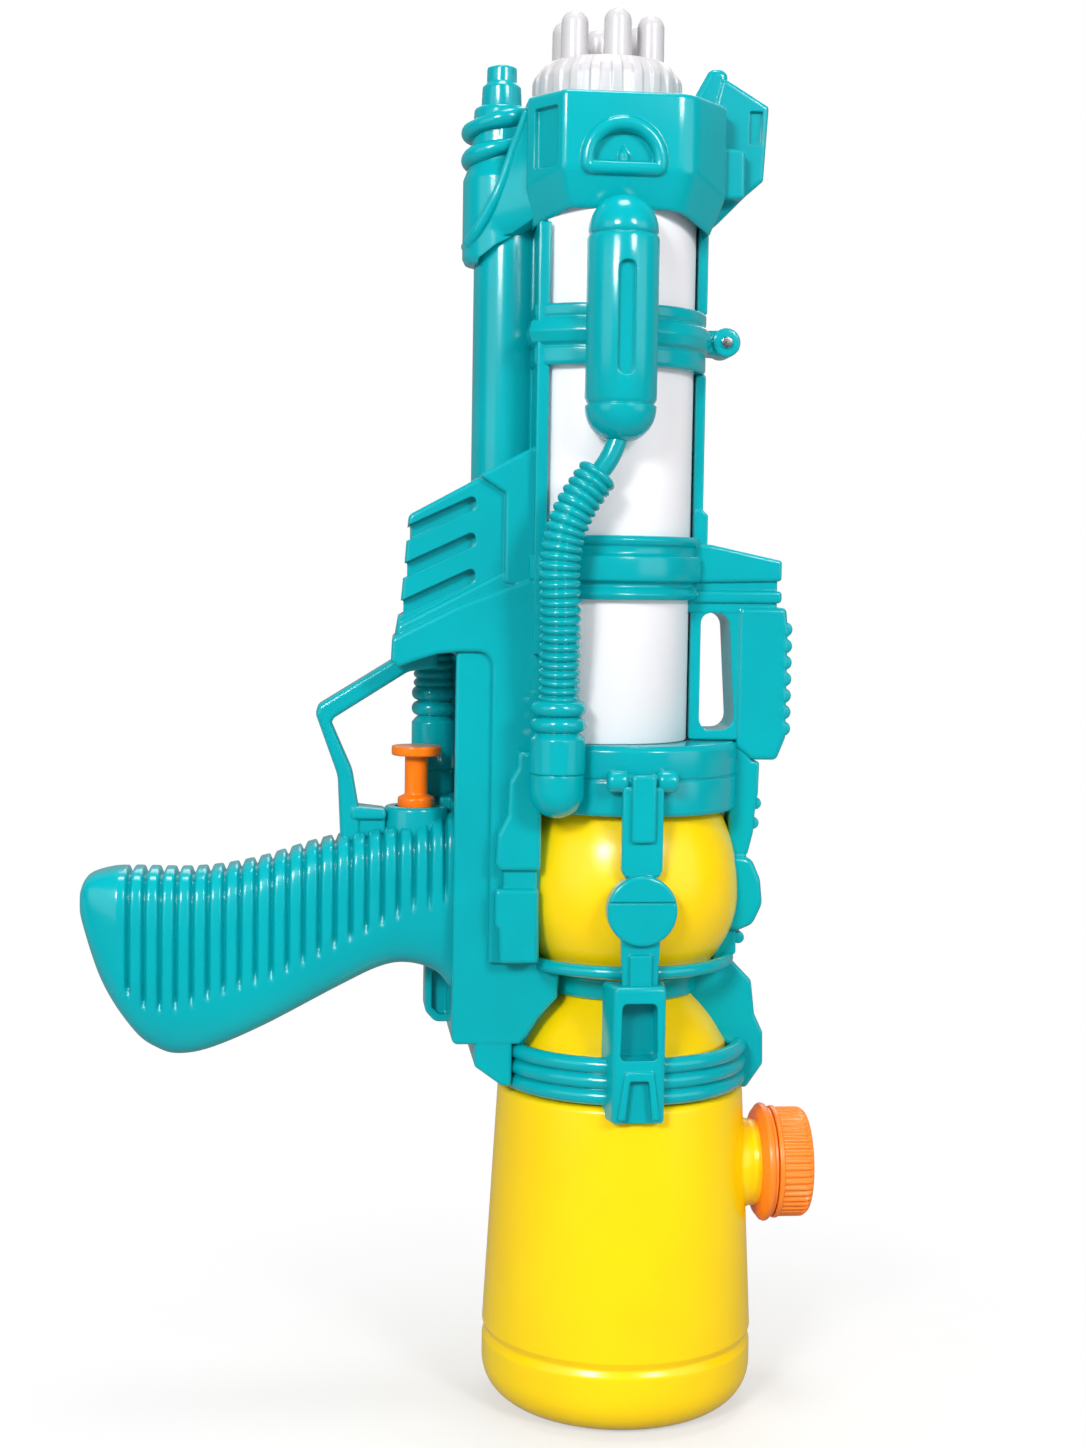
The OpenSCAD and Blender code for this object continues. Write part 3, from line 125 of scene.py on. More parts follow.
def inset(loop, distance):
    """Outline moved inwards: each point slides along the mean of its two edges' normals, over its cosine."""
    edge = np.roll(loop, -1, 0) - loop
    normal = np.stack([edge[:, 1], -edge[:, 0]], 1) / np.linalg.norm(edge, axis=1)[:, None]
    previous = np.roll(normal, 1, 0)
    mitre = (normal + previous) / (1 + (normal * previous).sum(1))[:, None]
    return loop - distance * mitre


def spline(points, steps=12):
    """Smooth line through all points: a cubic between each pair, aimed along the chord of its neighbours."""
    points = np.asarray(points, float)
    padded = np.vstack([2 * points[:1] - points[1:2], points, 2 * points[-1:] - points[-2:-1]])
    a, b, c, d = (padded[i:len(padded) - 3 + i, None] for i in range(4))
    t = np.linspace(0, 1, steps, endpoint=False)[None, :, None]
    curve = 0.5 * (2 * b + (c - a) * t + (2 * a - 5 * b + 4 * c - d) * t ** 2
                   + (3 * b - a - 3 * c + d) * t ** 3)
    return np.vstack([curve.reshape(-1, points.shape[1]), points[-1:]])


print("a rounded square of", len(round_loop([(0, 0), (9, 0), (9, 9), (0, 9)])), "points")

# %% [markdown]
# ## Skins
# A part is a pair: an array of points and a list of faces. Three kinds of skin make nearly everything here: a
# stack of loops, a profile turned about an axis, and a round profile carried along a path.

# %% Skins over loops, turned profiles and paths
LEAST_RADIUS = 0.12
LEAST_TURNED = 0.01
END_INSET = 0.2
WALLS = {"XZ": ((1, 0, 0), (0, 0, 1), (0, 1, 0)), "XY": ((1, 0, 0), (0, 1, 0), (0, 0, 1)),
         "YZ": ((0, 1, 0), (0, 0, 1), (1, 0, 0))}


def grid_faces(rows, columns, wrap_rows=False):
    """Four-sided faces between neighbouring points of a grid that closes round its columns."""
    index = np.arange(rows * columns).reshape(rows, columns)
    index = np.hstack([index, index[:, :1]])
    if wrap_rows:
        index = np.vstack([index, index[:1]])
    corners = [index[:-1, :-1], index[1:, :-1], index[1:, 1:], index[:-1, 1:]]
    return np.stack(corners, -1).reshape(-1, 4).tolist()


def stack_skin(loops):
    """Closed skin over a stack of loops, with the first and last loop filled in."""
    rows, columns = loops.shape[:2]
    ends = [list(range(columns)), list(range((rows - 1) * columns, rows * columns))]
    return loops.reshape(-1, 3), grid_faces(rows, columns) + ends


def ring_skin(loops):
    """Closed skin over loops whose last one joins the first, as on a ring."""
    return loops.reshape(-1, 3), grid_faces(*loops.shape[:2], wrap_rows=True)


def join(*parts):
    """Several parts as one, with the face numbers moved along."""
    starts = np.cumsum([0] + [len(points) for points, _ in parts])
    faces = [[i + start for i in face] for start, (_, some) in zip(starts.tolist(), parts) for face in some]
    return np.vstack([points for points, _ in parts]), faces


def on_wall(flat, depth, wall, origin=(0, 0, 0)):
    """Outline points and a depth set on a wall: origin + first * across + second * up + depth * inwards."""
    across, up, inwards = (np.asarray(v, float) for v in (WALLS[wall] if isinstance(wall, str) else wall))
    return np.asarray(origin, float) + flat[..., :1] * across + flat[..., 1:] * up + depth * inwards


def shrunk_loop(outline, radius, distance, steps):
    """Rounded outline moved inwards: outer corners lose radius and inner ones gain it, so centres stay."""
    points = np.asarray(outline, float)
    radius = np.broadcast_to(np.asarray(radius, float), len(points))
    ahead, behind = np.roll(points, -1, 0) - points, points - np.roll(points, 1, 0)
    cross = behind[:, 0] * ahead[:, 1] - behind[:, 1] * ahead[:, 0]
    if signed_area(points) < 0:
        points, radius, cross = points[::-1], radius[::-1], -cross[::-1]
    radius = np.where(cross > 0, np.maximum(radius - distance, LEAST_RADIUS), radius + distance)
    return round_loop(inset(points, distance), radius, steps)


def block(outline, low, high, edge=1.0, radius=2.0, wall="XZ", origin=(0, 0, 0), steps=6):
    """Moulded block: an outline carried from low to high, drawn in along a quarter circle at both ends."""
    turn = np.linspace(0, np.pi / 2, 6)
    draw = edge * (1 - np.sin(turn))
    rise = edge * (1 - np.cos(turn))
    insets = np.concatenate([[edge + END_INSET], draw, draw[::-1], [edge + END_INSET]])
    depths = np.concatenate([[low], low + rise, high - rise[::-1], [high]])
    loops = [shrunk_loop(outline, radius, i, steps) for i in insets]
    return stack_skin(np.stack([on_wall(loop, d, wall, origin) for loop, d in zip(loops, depths)]))


def plate(outline, depth, edge=1.0, radius=1.2):
    """Block that reaches equally far to the near and the far side of the parting plane."""
    return block(outline, -depth, depth, edge, radius)


def turned(profile, centre=(0, 0, 0), axis="Z", steps=96):
    """Profile of radius and height turned about an axis through centre: (r cos a, r sin a, h)."""
    profile = np.asarray(profile, float)
    angle = full_turn(steps)
    radius = np.maximum(profile[:, 0], LEAST_TURNED)[:, None]
    around = np.stack([radius * np.cos(angle), radius * np.sin(angle),
                       np.broadcast_to(profile[:, 1:], (len(profile), steps))], -1)
    order = {"Z": [0, 1, 2], "X": [2, 0, 1], "Y": [0, 2, 1]}[axis]
    return stack_skin(around[..., order] + np.asarray(centre, float))


def rod(radius, low, high, centre, axis="Z", steps=32, soft=None):
    """Round bar between two heights, with rounded edges where soft gives their radius."""
    line = [(0, low), (radius, low), (radius, high), (0, high)]
    return turned(line if soft is None else round_line(line, soft), centre, axis, steps)


def turned_ring(profile, centre=(0, 0, 0), axis="Z", steps=128):
    """Closed profile of radius and height turned about an axis, as for a hoop."""
    points, _ = turned(profile, centre, axis, steps)
    return ring_skin(points.reshape(len(profile), steps, 3))


def bead(radius, height, thick, steps=20):
    """Round closed profile of a hoop: a circle about (radius, height)."""
    return arc(full_turn(steps), radius, height, thick, thick)


def tube_loops(path, radius, steps=24, side=(0, 1, 0)):
    """Circles square to a path: path + r (cos a * first + sin a * second), both square to its direction."""
    path = np.asarray(path, float)
    along = np.gradient(path, axis=0)
    along /= np.linalg.norm(along, axis=1)[:, None]
    first = np.cross(along, np.asarray(side, float))
    first /= np.linalg.norm(first, axis=1)[:, None]
    second = np.cross(along, first)
    angle = full_turn(steps)[None, :, None]
    spokes = np.cos(angle) * first[:, None] + np.sin(angle) * second[:, None]
    return path[:, None] + np.broadcast_to(radius, len(path))[:, None, None] * spokes


def tube(path, radius, steps=24, side=(0, 1, 0)):
    """Round bar along a path, with its two ends filled."""
    return stack_skin(tube_loops(path, radius, steps, side))


def band(loop, profile):
    """Band round an outline seen from above: each profile point is an outward offset and a height."""
    rings = [on_wall(inset(loop, -offset), height, "XY") for offset, height in np.asarray(profile, float)]
    return ring_skin(np.stack(rings))


def flipped(part):
    """The same part on the far side of the parting plane, with its faces turned back outwards."""
    points, faces = part
    return points * np.array([1, -1, 1]), [face[::-1] for face in faces]


print("wall names", list(WALLS))

# %% [markdown]
# ## Cutting recesses
# Slots, windows and screw holes are sunk into a moulding. Each is built as a block of its own and taken out
# of it with a Boolean, and the arrays of what is left are read back, so that no modifier stays live.
# Cutters that overlap are taken out one after the other.

# %% Take one part out of another
def bare_object(name, part):
    """An object in the scene with a part's points and faces, all facing outwards."""
    mesh = bpy.data.meshes.new(name)
    mesh.from_pydata((np.asarray(part[0]) * MM).tolist(), [], part[1])
    shell = bmesh.new()
    shell.from_mesh(mesh)
    bmesh.ops.recalc_face_normals(shell, faces=shell.faces)
    bmesh.ops.triangulate(shell, faces=[f for f in shell.faces if len(f.verts) > 4])
    shell.to_mesh(mesh)
    shell.free()
    made = bpy.data.objects.new(name, mesh)
    bpy.context.scene.collection.objects.link(made)
    return made


def carved(part, *cutters):
    """What is left of a part after the cutters' volumes are taken out of it."""
    blank, tool = bare_object("blank", part), bare_object("tool", join(*cutters))
    cut = blank.modifiers.new("cut", "BOOLEAN")
    cut.operation, cut.solver, cut.object = "DIFFERENCE", "MANIFOLD", tool
    mesh = blank.evaluated_get(bpy.context.evaluated_depsgraph_get()).to_mesh()
    points = np.empty(len(mesh.vertices) * 3)
    mesh.vertices.foreach_get("co", points)
    faces = [list(polygon.vertices) for polygon in mesh.polygons]
    for made in (blank, tool):
        used = made.data
        bpy.data.objects.remove(made)
        bpy.data.meshes.remove(used)
    return points.reshape(-1, 3) / MM, faces


print("cutting is ready")

# %% [markdown]
# ## Shader arithmetic
# Node trees are easier to read as sums. A Link wraps one socket, arithmetic on it adds Math nodes, and make()
# adds any other node from its type, its settings and its inputs.

# %% A socket that takes arithmetic
class Link:
    """One output socket of a shader tree."""

    def __init__(self, tree, socket=None):
        self.tree, self.socket = tree, socket

    def make(self, kind, settings=None, inputs=None, output=0):
        """Adds a node, sets it up, joins or fills its inputs, and returns one of its outputs."""
        node = self.tree.nodes.new("ShaderNode" + kind)
        for name, value in (settings or {}).items():
            setattr(node, name, value)
        for name, value in (inputs or {}).items():
            if isinstance(value, Link):
                self.tree.links.new(value.socket, node.inputs[name])
            else:
                node.inputs[name].default_value = value
        return Link(self.tree, node.outputs[output] if node.outputs else None)

    def maths(self, operation, first, second):
        """A Math node on two values or links."""
        return self.make("Math", {"operation": operation}, {0: first, 1: second})

    def __add__(self, other):
        return self.maths("ADD", self, other)

    def __sub__(self, other):
        return self.maths("SUBTRACT", self, other)

    def __rsub__(self, other):
        return self.maths("SUBTRACT", other, self)

    def __mul__(self, other):
        return self.maths("MULTIPLY", self, other)

    __radd__, __rmul__ = __add__, __mul__

    def noise(self, scale, detail=2.0, roughness=0.5):
        """Noise over these coordinates."""
        return self.make("TexNoise", None,
                         {"Vector": self, "Scale": scale, "Detail": detail, "Roughness": roughness})

    def stretched(self, scale):
        """These coordinates scaled along each axis."""
        return self.make("Mapping", None, {"Vector": self, "Scale": scale})

    def blend(self, low, high):
        """One colour turning into another as this factor goes from 0 to 1."""
        return self.make("Mix", {"data_type": "RGBA"}, {"Factor": self, 6: low, 7: high}, output=2)

    def along_y(self):
        """The Y part of these coordinates."""
        return self.make("SeparateXYZ", None, {0: self}, output=1)

    def smooth(self, low, high):
        """0 below low, 1 above high, and an S-curve between them."""
        return self.make("MapRange", {"interpolation_type": "SMOOTHSTEP"},
                         {"Value": self, "From Min": low, "From Max": high})


def new_tree(name):
    """An empty material and the link that its nodes are made from."""
    finish = bpy.data.materials.new(name)
    finish.use_nodes = True
    finish.node_tree.nodes.clear()
    return finish, Link(finish.node_tree)


print("operators ready")

# %% [markdown]
# ## Moulded plastic
# The toy's plastic is bright and glossy. Its surface is not perfect: thick walls sink a little as they cool,
# so highlights wobble, pale flow marks run through the colour, and a fine line shows where the mould's halves
# met. A Bevel node rounds the light along edges where two forms meet.

# %% The plastics
def plastic(name, colour, deep, pale, gloss, wave=0.25, seam=0.0, edge=0.0006, shine=0.5):
    """Moulded plastic: two colours and pale flow marks by slow noise, gloss by fine noise, a seam by |y|."""
    finish, tree = new_tree(name)
    place = tree.make("TexCoord", output="Object")
    slow = place.noise(24.0, 3.0)
    flow = place.stretched((1.0, 1.0, 0.35)).noise(60.0, 5.0, 0.6)
    fine = place.noise(1800.0)
    tint = slow.smooth(0.35, 0.7).blend((*colour, 1), (*deep, 1))
    tint = (flow.smooth(0.62, 0.8) * 0.22).blend(tint, (*pale, 1))
    rough = gloss + 0.05 * slow + 0.04 * fine
    height = wave * slow + 0.012 * fine
    if seam:
        from_seam = tree.make("Math", {"operation": "ABSOLUTE"}, {0: place.along_y()})
        height = height - seam * (1 - from_seam.smooth(0.00008, 0.00028))
    soft = tree.make("Bevel", {"samples": 6}, {"Radius": edge})
    bump = tree.make("Bump", None,
                     {"Height": height, "Normal": soft, "Strength": 0.35, "Distance": 0.002})
    skin = tree.make("BsdfPrincipled", None,
                     {"Base Color": tint, "Roughness": rough, "Normal": bump, "IOR": 1.5,
                      "Specular IOR Level": shine})
    tree.make("OutputMaterial", None, {"Surface": skin})
    return finish


TEAL = plastic("teal_moulding", (0.0, 0.40, 0.45), (0.0, 0.36, 0.41), (0.01, 0.46, 0.51), 0.13,
               seam=0.05, edge=0.0007, shine=0.55)
TEAL_HOSE = plastic("teal_hose_moulding", (0.0, 0.385, 0.43), (0.0, 0.34, 0.385), (0.01, 0.44, 0.48), 0.14,
                    edge=0.0003, shine=0.55)
YELLOW = plastic("yellow_bottle", (1.0, 0.69, 0.0), (0.99, 0.645, 0.0), (1.0, 0.74, 0.01), 0.2, wave=0.5)
WHITE = plastic("white_moulding", (0.9, 0.89, 0.92), (0.88, 0.87, 0.9), (0.92, 0.91, 0.935), 0.3, wave=0.1)
# Painted shade: the muzzle ring and pegs are the same white plastic as the sleeve, given this darker copy so
# that they read as shaded.
SHADED_PEG_WHITE = plastic("white_pegs_painted_shade", (0.6, 0.585, 0.6), (0.58, 0.565, 0.58), (0.63, 0.615, 0.63), 0.25, wave=0.1)
ORANGE = plastic("orange_cap", (1.0, 0.25, 0.02), (0.97, 0.21, 0.015), (1.0, 0.33, 0.08), 0.3,
                 wave=0.12, edge=0.0002)
SIGNAL = plastic("trigger_moulding", (1.0, 0.215, 0.004), (0.98, 0.185, 0.003), (1.0, 0.28, 0.03), 0.16,
                 wave=0.15)
MILKY = plastic("milky_tube", (0.72, 0.78, 0.78), (0.66, 0.73, 0.74), (0.8, 0.84, 0.84), 0.35,
                wave=0.1, edge=0.0002)
RUBBER = plastic("black_seal", (0.025, 0.025, 0.027), (0.02, 0.02, 0.02), (0.05, 0.05, 0.05), 0.6, wave=0.1)
print("plastics", [m.name for m in bpy.data.materials][-9:])

# %% [markdown]
# Screws, the clamp's pin and the spring are bright steel. Fine drawn lines run along the metal, so roughness
# comes from a stretched noise, and the base colour shifts a little between grey and blue.

# %% Steel
def steel(name):
    """Drawn steel: metallic, with roughness and tone from noise stretched along Y."""
    finish, tree = new_tree(name)
    place = tree.make("TexCoord", output="Object")
    lines = place.stretched((1.0, 0.08, 1.0)).noise(2600.0, 3.0)
    tone = lines.blend((0.52, 0.53, 0.55, 1), (0.7, 0.7, 0.7, 1))
    skin = tree.make("BsdfPrincipled", None,
                     {"Base Color": tone, "Roughness": 0.2 + 0.15 * lines, "Metallic": 1.0})
    tree.make("OutputMaterial", None, {"Surface": skin})
    return finish


STEEL = steel("drawn_steel")
FINISHES = {"teal_plastic": TEAL, "teal_hose": TEAL_HOSE, "yellow_plastic": YELLOW, "white_plastic": WHITE,
            "orange_plastic": ORANGE, "trigger_orange": SIGNAL, "clear_tube": MILKY, "black_rubber": RUBBER,
            "steel": STEEL}
for row in frame["record"]["subparts"]:
    node = frame["nodes"][row["node"]]
    node.data.materials.clear()
    node.data.materials.append(FINISHES[row["material_slot"]])

# %% [markdown]
# Every new piece goes through one function: it makes the mesh, shades it smooth except at sharp creases,
# gives it its finish, hangs it on its body and hides the imported nodes that it stands for.

# %% Put a piece in the scene
def piece(name, part, stands_for=(), slot="teal_plastic", body="body", crease=38, finish=None):
    """A finished piece in its place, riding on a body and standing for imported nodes."""
    made = bare_object(name, part)
    made.data.polygons.foreach_set("use_smooth", np.ones(len(made.data.polygons), bool))
    made.data.set_sharp_from_angle(angle=math.radians(crease))
    made.data.materials.append(finish or FINISHES[slot])
    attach(made, body)
    if stands_for:
        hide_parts(*stands_for)
    print(f"{name}: {len(made.data.vertices)} points")
    return made


# %% [markdown]
# ## The bottle
# The tank is a blow-moulded bottle: a flat foot, a groove near the foot, a tapering body, a step where three
# hoops grip it, a waist and a round bulb. It is one profile turned about the upright axis.

# %% Tank
SPOUT = (0, 0, 69.5)
quarter = np.linspace(0, np.pi / 2, 14)
foot = np.stack([28 + 12 * np.sin(quarter), 12 - 12 * np.cos(quarter)], 1)
lower = round_line([(40, 12), (40, 18.4), (38.9, 20.5), (40, 22.7), (36.3, 94.4), (31.2, 95.6), (31, 108)],
                   [3, 0.9, 1.2, 1.8, 0.8])
upper = spline([(31, 108.2), (30.2, 109.6), (29, 111.6), (27.6, 114), (25.8, 116.6), (23.2, 119.8),
                (20.8, 122.6), (20.5, 124.6), (21.8, 128.2), (26.2, 132.4), (30.6, 139), (33.2, 146),
                (33.8, 153), (33, 161.5), (30.6, 170.5), (26, 178.5), (18.4, 182), (15, 185), (15, 190)], 8)
tank_line = np.vstack([[(0, 0), (27, 0)], foot, lower[1:], upper, [(0, 190)]])
neck_line = round_line([(0, 32), (15.6, 32), (12.8, 39), (12.6, 53.2), (0, 53.2)], [2, 2, 0.6])
piece("tank_bottle", join(turned(tank_line, steps=160), turned(neck_line, SPOUT, "X", 64)),
      ["tank", "tank_upper", "filler_spout"], "yellow_plastic")

# %% [markdown]
# The filler closes with a ribbed cap. A ring below it stays on the neck, as on many bottles. The cap's ribs,
# and later the muzzle ring's flutes, are dents in a turned wall that fade out at its lower and upper edge.

# %% Filler cap and neck ring
def dented(line, dents, depth, radius, bottom, top, inner):
    """Turned profile with x and y scaled by 1 - depth * wall * dents / radius. The wall lies outside the
    inner radius and fades at its bottom and top, each given as a height and the width of the fade."""
    points, faces = turned(line, steps=dents.size)
    grid = points.reshape(len(line), -1, 3)
    height = grid[:, :1, 2]
    wall = np.clip((height - bottom[0]) / bottom[1], 0, 1) * np.clip((top[0] - height) / top[1], 0, 1)
    scale = 1 - depth * wall * (line[:, :1] > inner) * dents / radius
    return (grid * np.stack([scale, scale, np.ones_like(scale)], -1)).reshape(-1, 3), faces


RIBS = 48
cap_line = np.vstack([[(0, 45.9), (15.6, 45.9)],
                      round_line([(16.4, 45.95), (16.6, 46.4), (16.6, 47.2), (16.2, 47.4), (16.2, 55),
                                  (14.9, 56.4), (0, 56.5)], [0.3, 0.3, 0.15, 2, 1.0], 8)])
rib_gaps = 1 - np.clip(1.6 * np.cos(RIBS * full_turn(RIBS * 10)), -1, 1)
cap_points, cap_faces = dented(cap_line, rib_gaps, 0.4, 16.2, (47.4, 0.3), (55.9, 0.8), 14.7)
ring_line = round_line([(12.7, 41.2), (15.4, 41.2), (16.4, 42), (17.2, 42.6), (17.5, 43.4), (17.2, 44.3),
                        (16.2, 44.6), (16.2, 45.6), (12.7, 45.6)], 0.35)
piece("filler_cap_ribbed", (cap_points[:, [2, 0, 1]] + np.array(SPOUT), cap_faces), ["filler_cap"],
      "orange_plastic", "cap")
piece("neck_ring_band", turned_ring(ring_line, SPOUT, "X"), ["neck_ring"], "orange_plastic")

# %% [markdown]
# ## The white sleeve
# The sleeve is a D-shaped tube: round to the right and flat where it leans on the rail. It is an extruded
# outline.

# %% Sleeve
AXIS = -9.0
SLEEVE_R = 26.5
bend = np.linspace(-1, 1, 90) * math.acos(-18.4 / SLEEVE_R)
d_outline = arc(bend, AXIS, 0, SLEEVE_R, SLEEVE_R)
d_loops = [(inset(d_outline, 1.8), 197.0), (inset(d_outline, 0.3), 197.0), (d_outline, 197.4),
           (d_outline, 359.6), (inset(d_outline, 0.3), 360.0), (inset(d_outline, 1.8), 360.0)]
piece("sleeve_tube", ring_skin(np.stack([on_wall(loop, z, "XY") for loop, z in d_loops])), ["barrel_sleeve"],
      "white_plastic")

# %% [markdown]
# ## The muzzle
# Six round-tipped pegs stand on a fluted white ring. The ring is a turned profile with dents for flutes. It
# turns on its own axle, so all of it rides on the ring's body.

# %% Muzzle ring and pegs
FLUTES = 22
muzzle_line = round_line([(0, 377.8), (21.6, 377.8), (21.6, 386.2), (17.2, 390.8), (16.4, 387.8), (0, 387.8)],
                         [0.6, 4.4, 0.7, 0.5], 10)
flutes = np.clip(0.5 + 1.9 * np.cos(FLUTES * full_turn(FLUTES * 24)), 0, 1)
ring_points, ring_faces = dented(muzzle_line, flutes, 0.8, 21.6, (379.2, 0.5), (388.6, 1.6), 19)
dome = arc(np.linspace(0, np.pi / 2, 12), 0, 400.4, 3.9, 4)
peg_line = np.vstack([[(0, 386), (4.1, 386), (4.0, 388)], dome])
places = np.radians(-85 + 60 * np.arange(6))
pegs = [turned(peg_line, (AXIS + 12.8 * math.cos(a), 12.8 * math.sin(a), 0), "Z", 32) for a in places]
axle = turned([(0, 372.6), (5.8, 372.6), (6, 373), (6, 379), (0, 379)], (AXIS, 0, 0), "Z", 48)
# The ring and pegs take the darker copy of the white plastic: painted shade.
piece("muzzle_ring_pegs", join((ring_points + np.array([AXIS, 0, 0]), ring_faces), axle, *pegs),
      ["muzzle_cluster"], "white_plastic", "muzzle_ring", finish=SHADED_PEG_WHITE)

# %% [markdown]
# The housing is an eight-sided block that tapers in at its skirt. The same rounded outline is stacked at
# several heights, so every edge gets its fillet. A gauge window and a side window are then cut in.

# %% Muzzle housing
def both_sides(points):
    """Outline of the near half closed with its mirror on the far half."""
    points = np.asarray(points, float)
    return np.vstack([points, points[::-1] * np.array([1, -1])])


def lifted(loop, height, lift):
    """Loop at a height that rises by lift from the flanks, |y| = 13 mm, to front and back, |y| = 27 mm."""
    return np.column_stack([loop, height + lift * np.clip((np.abs(loop[:, 1]) - 13) / 14, 0, 1)])


corners = [2.2, 2.2, 9, 5, 5, 9, 2.2, 2.2]
facet = round_loop(both_sides([(-33.5, -17.5), (-24.6, -30), (11, -30), (23.5, -15)]), corners, 10)
skirt = round_loop(both_sides([(-31.5, -15), (-22.2, -26.9), (8.6, -26.9), (20, -13.5)]), corners, 10)
SKIRT_LIFT = 4.8
stack = [(inset(skirt, 1.8), 354, 0), (inset(skirt, 1.4), 342.4, SKIRT_LIFT),
         (inset(skirt, 0.9), 341.6, SKIRT_LIFT), (inset(skirt, 0.25), 342, SKIRT_LIFT),
         (skirt, 342.7, SKIRT_LIFT), (0.1 * skirt + 0.9 * facet, 350.4, SKIRT_LIFT),
         (inset(facet, 0.02), 351.4, SKIRT_LIFT), (facet, 352.6, SKIRT_LIFT), (facet, 366, 1),
         (facet, 376.1, 0), (inset(facet, 0.1), 376.7, 0), (inset(facet, 0.45), 377.2, 0),
         (inset(facet, 1.1), 377.5, 0), (inset(facet, 1.6), 377.5, 0)]
housing = stack_skin(np.stack([lifted(*level) for level in stack]))
slant = np.array([8.9, -12.5, 0]) / np.hypot(8.9, 12.5)
facing = (slant, np.array([0, 0, 1.0]), np.array([12.5, 8.9, 0]) / np.hypot(8.9, 12.5))
side_window = block(rect(3, 357, 12.6, 373.6), -3, 1.5, 0.1, 0.8, facing, (-33.5, -17.5, 0))
GAUGE_X = -7.8
arch = np.linspace(0, np.pi, 20)
dial_cut = block(arc(arch, GAUGE_X, 358.6, 8.5, 8), -34, -28.2, 0.1, 0.6)
housing = carved(housing, side_window, flipped(side_window), dial_cut, flipped(dial_cut))
rim = np.vstack([arc(arch, GAUGE_X, 358.8, 10.2, 10), [(-17.9, 356.6), (2.3, 356.6)]])
rim_path = on_wall(round_loop(rim, 1.6, 8), -29.9, "XZ")
rim_bar = ring_skin(tube_loops(np.vstack([rim_path[-1:], rim_path, rim_path[:1]]), 1.9, 16)[1:-1])
hand_line = round_line([(0, 356.8), (1.5, 358.4), (1.6, 360.4), (0, 363)], 0.6)
hand = turned(hand_line, (GAUGE_X, -28.6, 0), "Z", 24)

# %% [markdown]
# On the right of the housing stand a ramp, a blade with a window in each side, a flat box and the top of the
# rail. All are blocks that run through both halves, and they join the housing as one piece.

# %% Sight, side box and rail
ramp = plate([(11, 372), (14, 379), (20, 390), (25.2, 390), (25.2, 348), (16, 344)], 6.4, 1.8,
             [2, 3, 2.6, 2.4, 2, 2])
blade = plate([(23.6, 387.6), (37.2, 379.7), (36, 358.6), (31.4, 354.6), (19.6, 342.6), (19.6, 372)], 7,
              1.1, [1, 1.4, 1.4, 2, 2, 2])
window = block([(31.6, 368.6), (35.2, 368.6), (35.4, 378.2), (31.6, 378.2)], -9, -5.8, 0.1, 0.5)
blade = carved(blade, window, flipped(window))
side_box = plate([(21.5, 352), (29.6, 352.4), (29.4, 366), (21.5, 366.8)], 12.4, 0.9, 1.0)
rail_top = plate(rect(17.7, 320.2, 20.6, 345), 6, 0.5, 0.6)
piece("muzzle_housing", join(housing, rim_bar, flipped(rim_bar), hand, flipped(hand), ramp, blade, side_box,
                             rail_top), ["muzzle_front", "muzzle_back"])

# %% [markdown]
# The squirting nozzle sits on the lower barrel's end, beside the housing. A thick cord of plastic winds round
# it, and a curved web joins it to the housing.

# %% Nozzle
PIPE = -39.4
shroud = turned(round_line([(0, 332.8), (9.9, 332.8), (10.8, 334.6), (10.8, 357), (8.8, 362), (7.8, 377.6),
                            (0, 378)], [0.8, 0.8, 3, 4, 1.4]), (PIPE, 0, 0), "Z", 64)
slope = plate([(-46, 330), (-20, 330), (-20, 342.4), (-30, 342.2), (-36, 340.4), (-41, 337.8), (-46, 334)],
              20, 0.1, [0.2, 0.2, 0.2, 3, 4, 4, 1])
turns = np.linspace(0, 1, 160)
sweep = np.radians(60 - 700 * turns)
wrap_out = 8.6 + 0.9 * turns
wrap_path = np.stack([PIPE + wrap_out * np.cos(sweep), wrap_out * np.sin(sweep),
                      376 - 15 * turns ** 1.1 + 0.8 * np.cos(sweep)], 1)
wrap_thick = (2.3 + 0.3 * np.sin(3.4 * sweep)) * np.clip(np.minimum(turns, 1 - turns) * 14 + 0.35, 0, 1)
wrap = tube(wrap_path, wrap_thick, 20, (0, 0, 1))
tip_line = round_line([(0, 377), (5.9, 377), (5.6, 383.4), (4.4, 384.6), (4.3, 388.8), (3.2, 389.4),
                       (2, 389.4), (0.8, 388), (0, 388)], [0.4, 0.9, 0.6, 0.5, 0.4, 0.3, 0.2])
bridge = plate([(-41, 374.6), (-30, 375.6), (-30, 344), (-41, 337.4)], 8.6, 1.6, 2)
ridge = spline([(-33.5, -15.6, 374), (-37, -13, 364), (-40, -11.8, 355), (-43, -10.8, 348),
                (-46.6, -8.2, 341.6), (-48.6, -4.6, 338.6)], 10)
shore = spline([(-30.4, -19.4, 374), (-30.4, -19.4, 366), (-30.4, -19, 358), (-30.4, -18, 351),
                (-31, -16, 345), (-37, -12.4, 340.6)], 10)
behind = np.array([3.0, 4.0, 0])
web = join(tube(ridge, np.linspace(1.1, 1.8, len(ridge)), 16, (1, 0, 0)),
           stack_skin(np.stack([ridge, shore, shore + behind, ridge + behind], 1)))
piece("nozzle_shroud", join(carved(shroud, slope), wrap, carved(bridge, slope), web, flipped(web)))
piece("nozzle_tip_turned", turned(tip_line, (PIPE, 0, 0), "Z", 64), ["nozzle_tip"])

# %% [markdown]
# ## The casing
# Receiver, vent block, trigger guard and lower barrel are one moulding in two halves. Each is a block with
# rounded edges that runs through both halves, and raised panels stand on them like steps.

# %% Receiver
def screw_hole(x, z):
    """A hole from the far side for one of the case screws."""
    return rod(2.6, 6, 30, (x, 0, z), "Y")


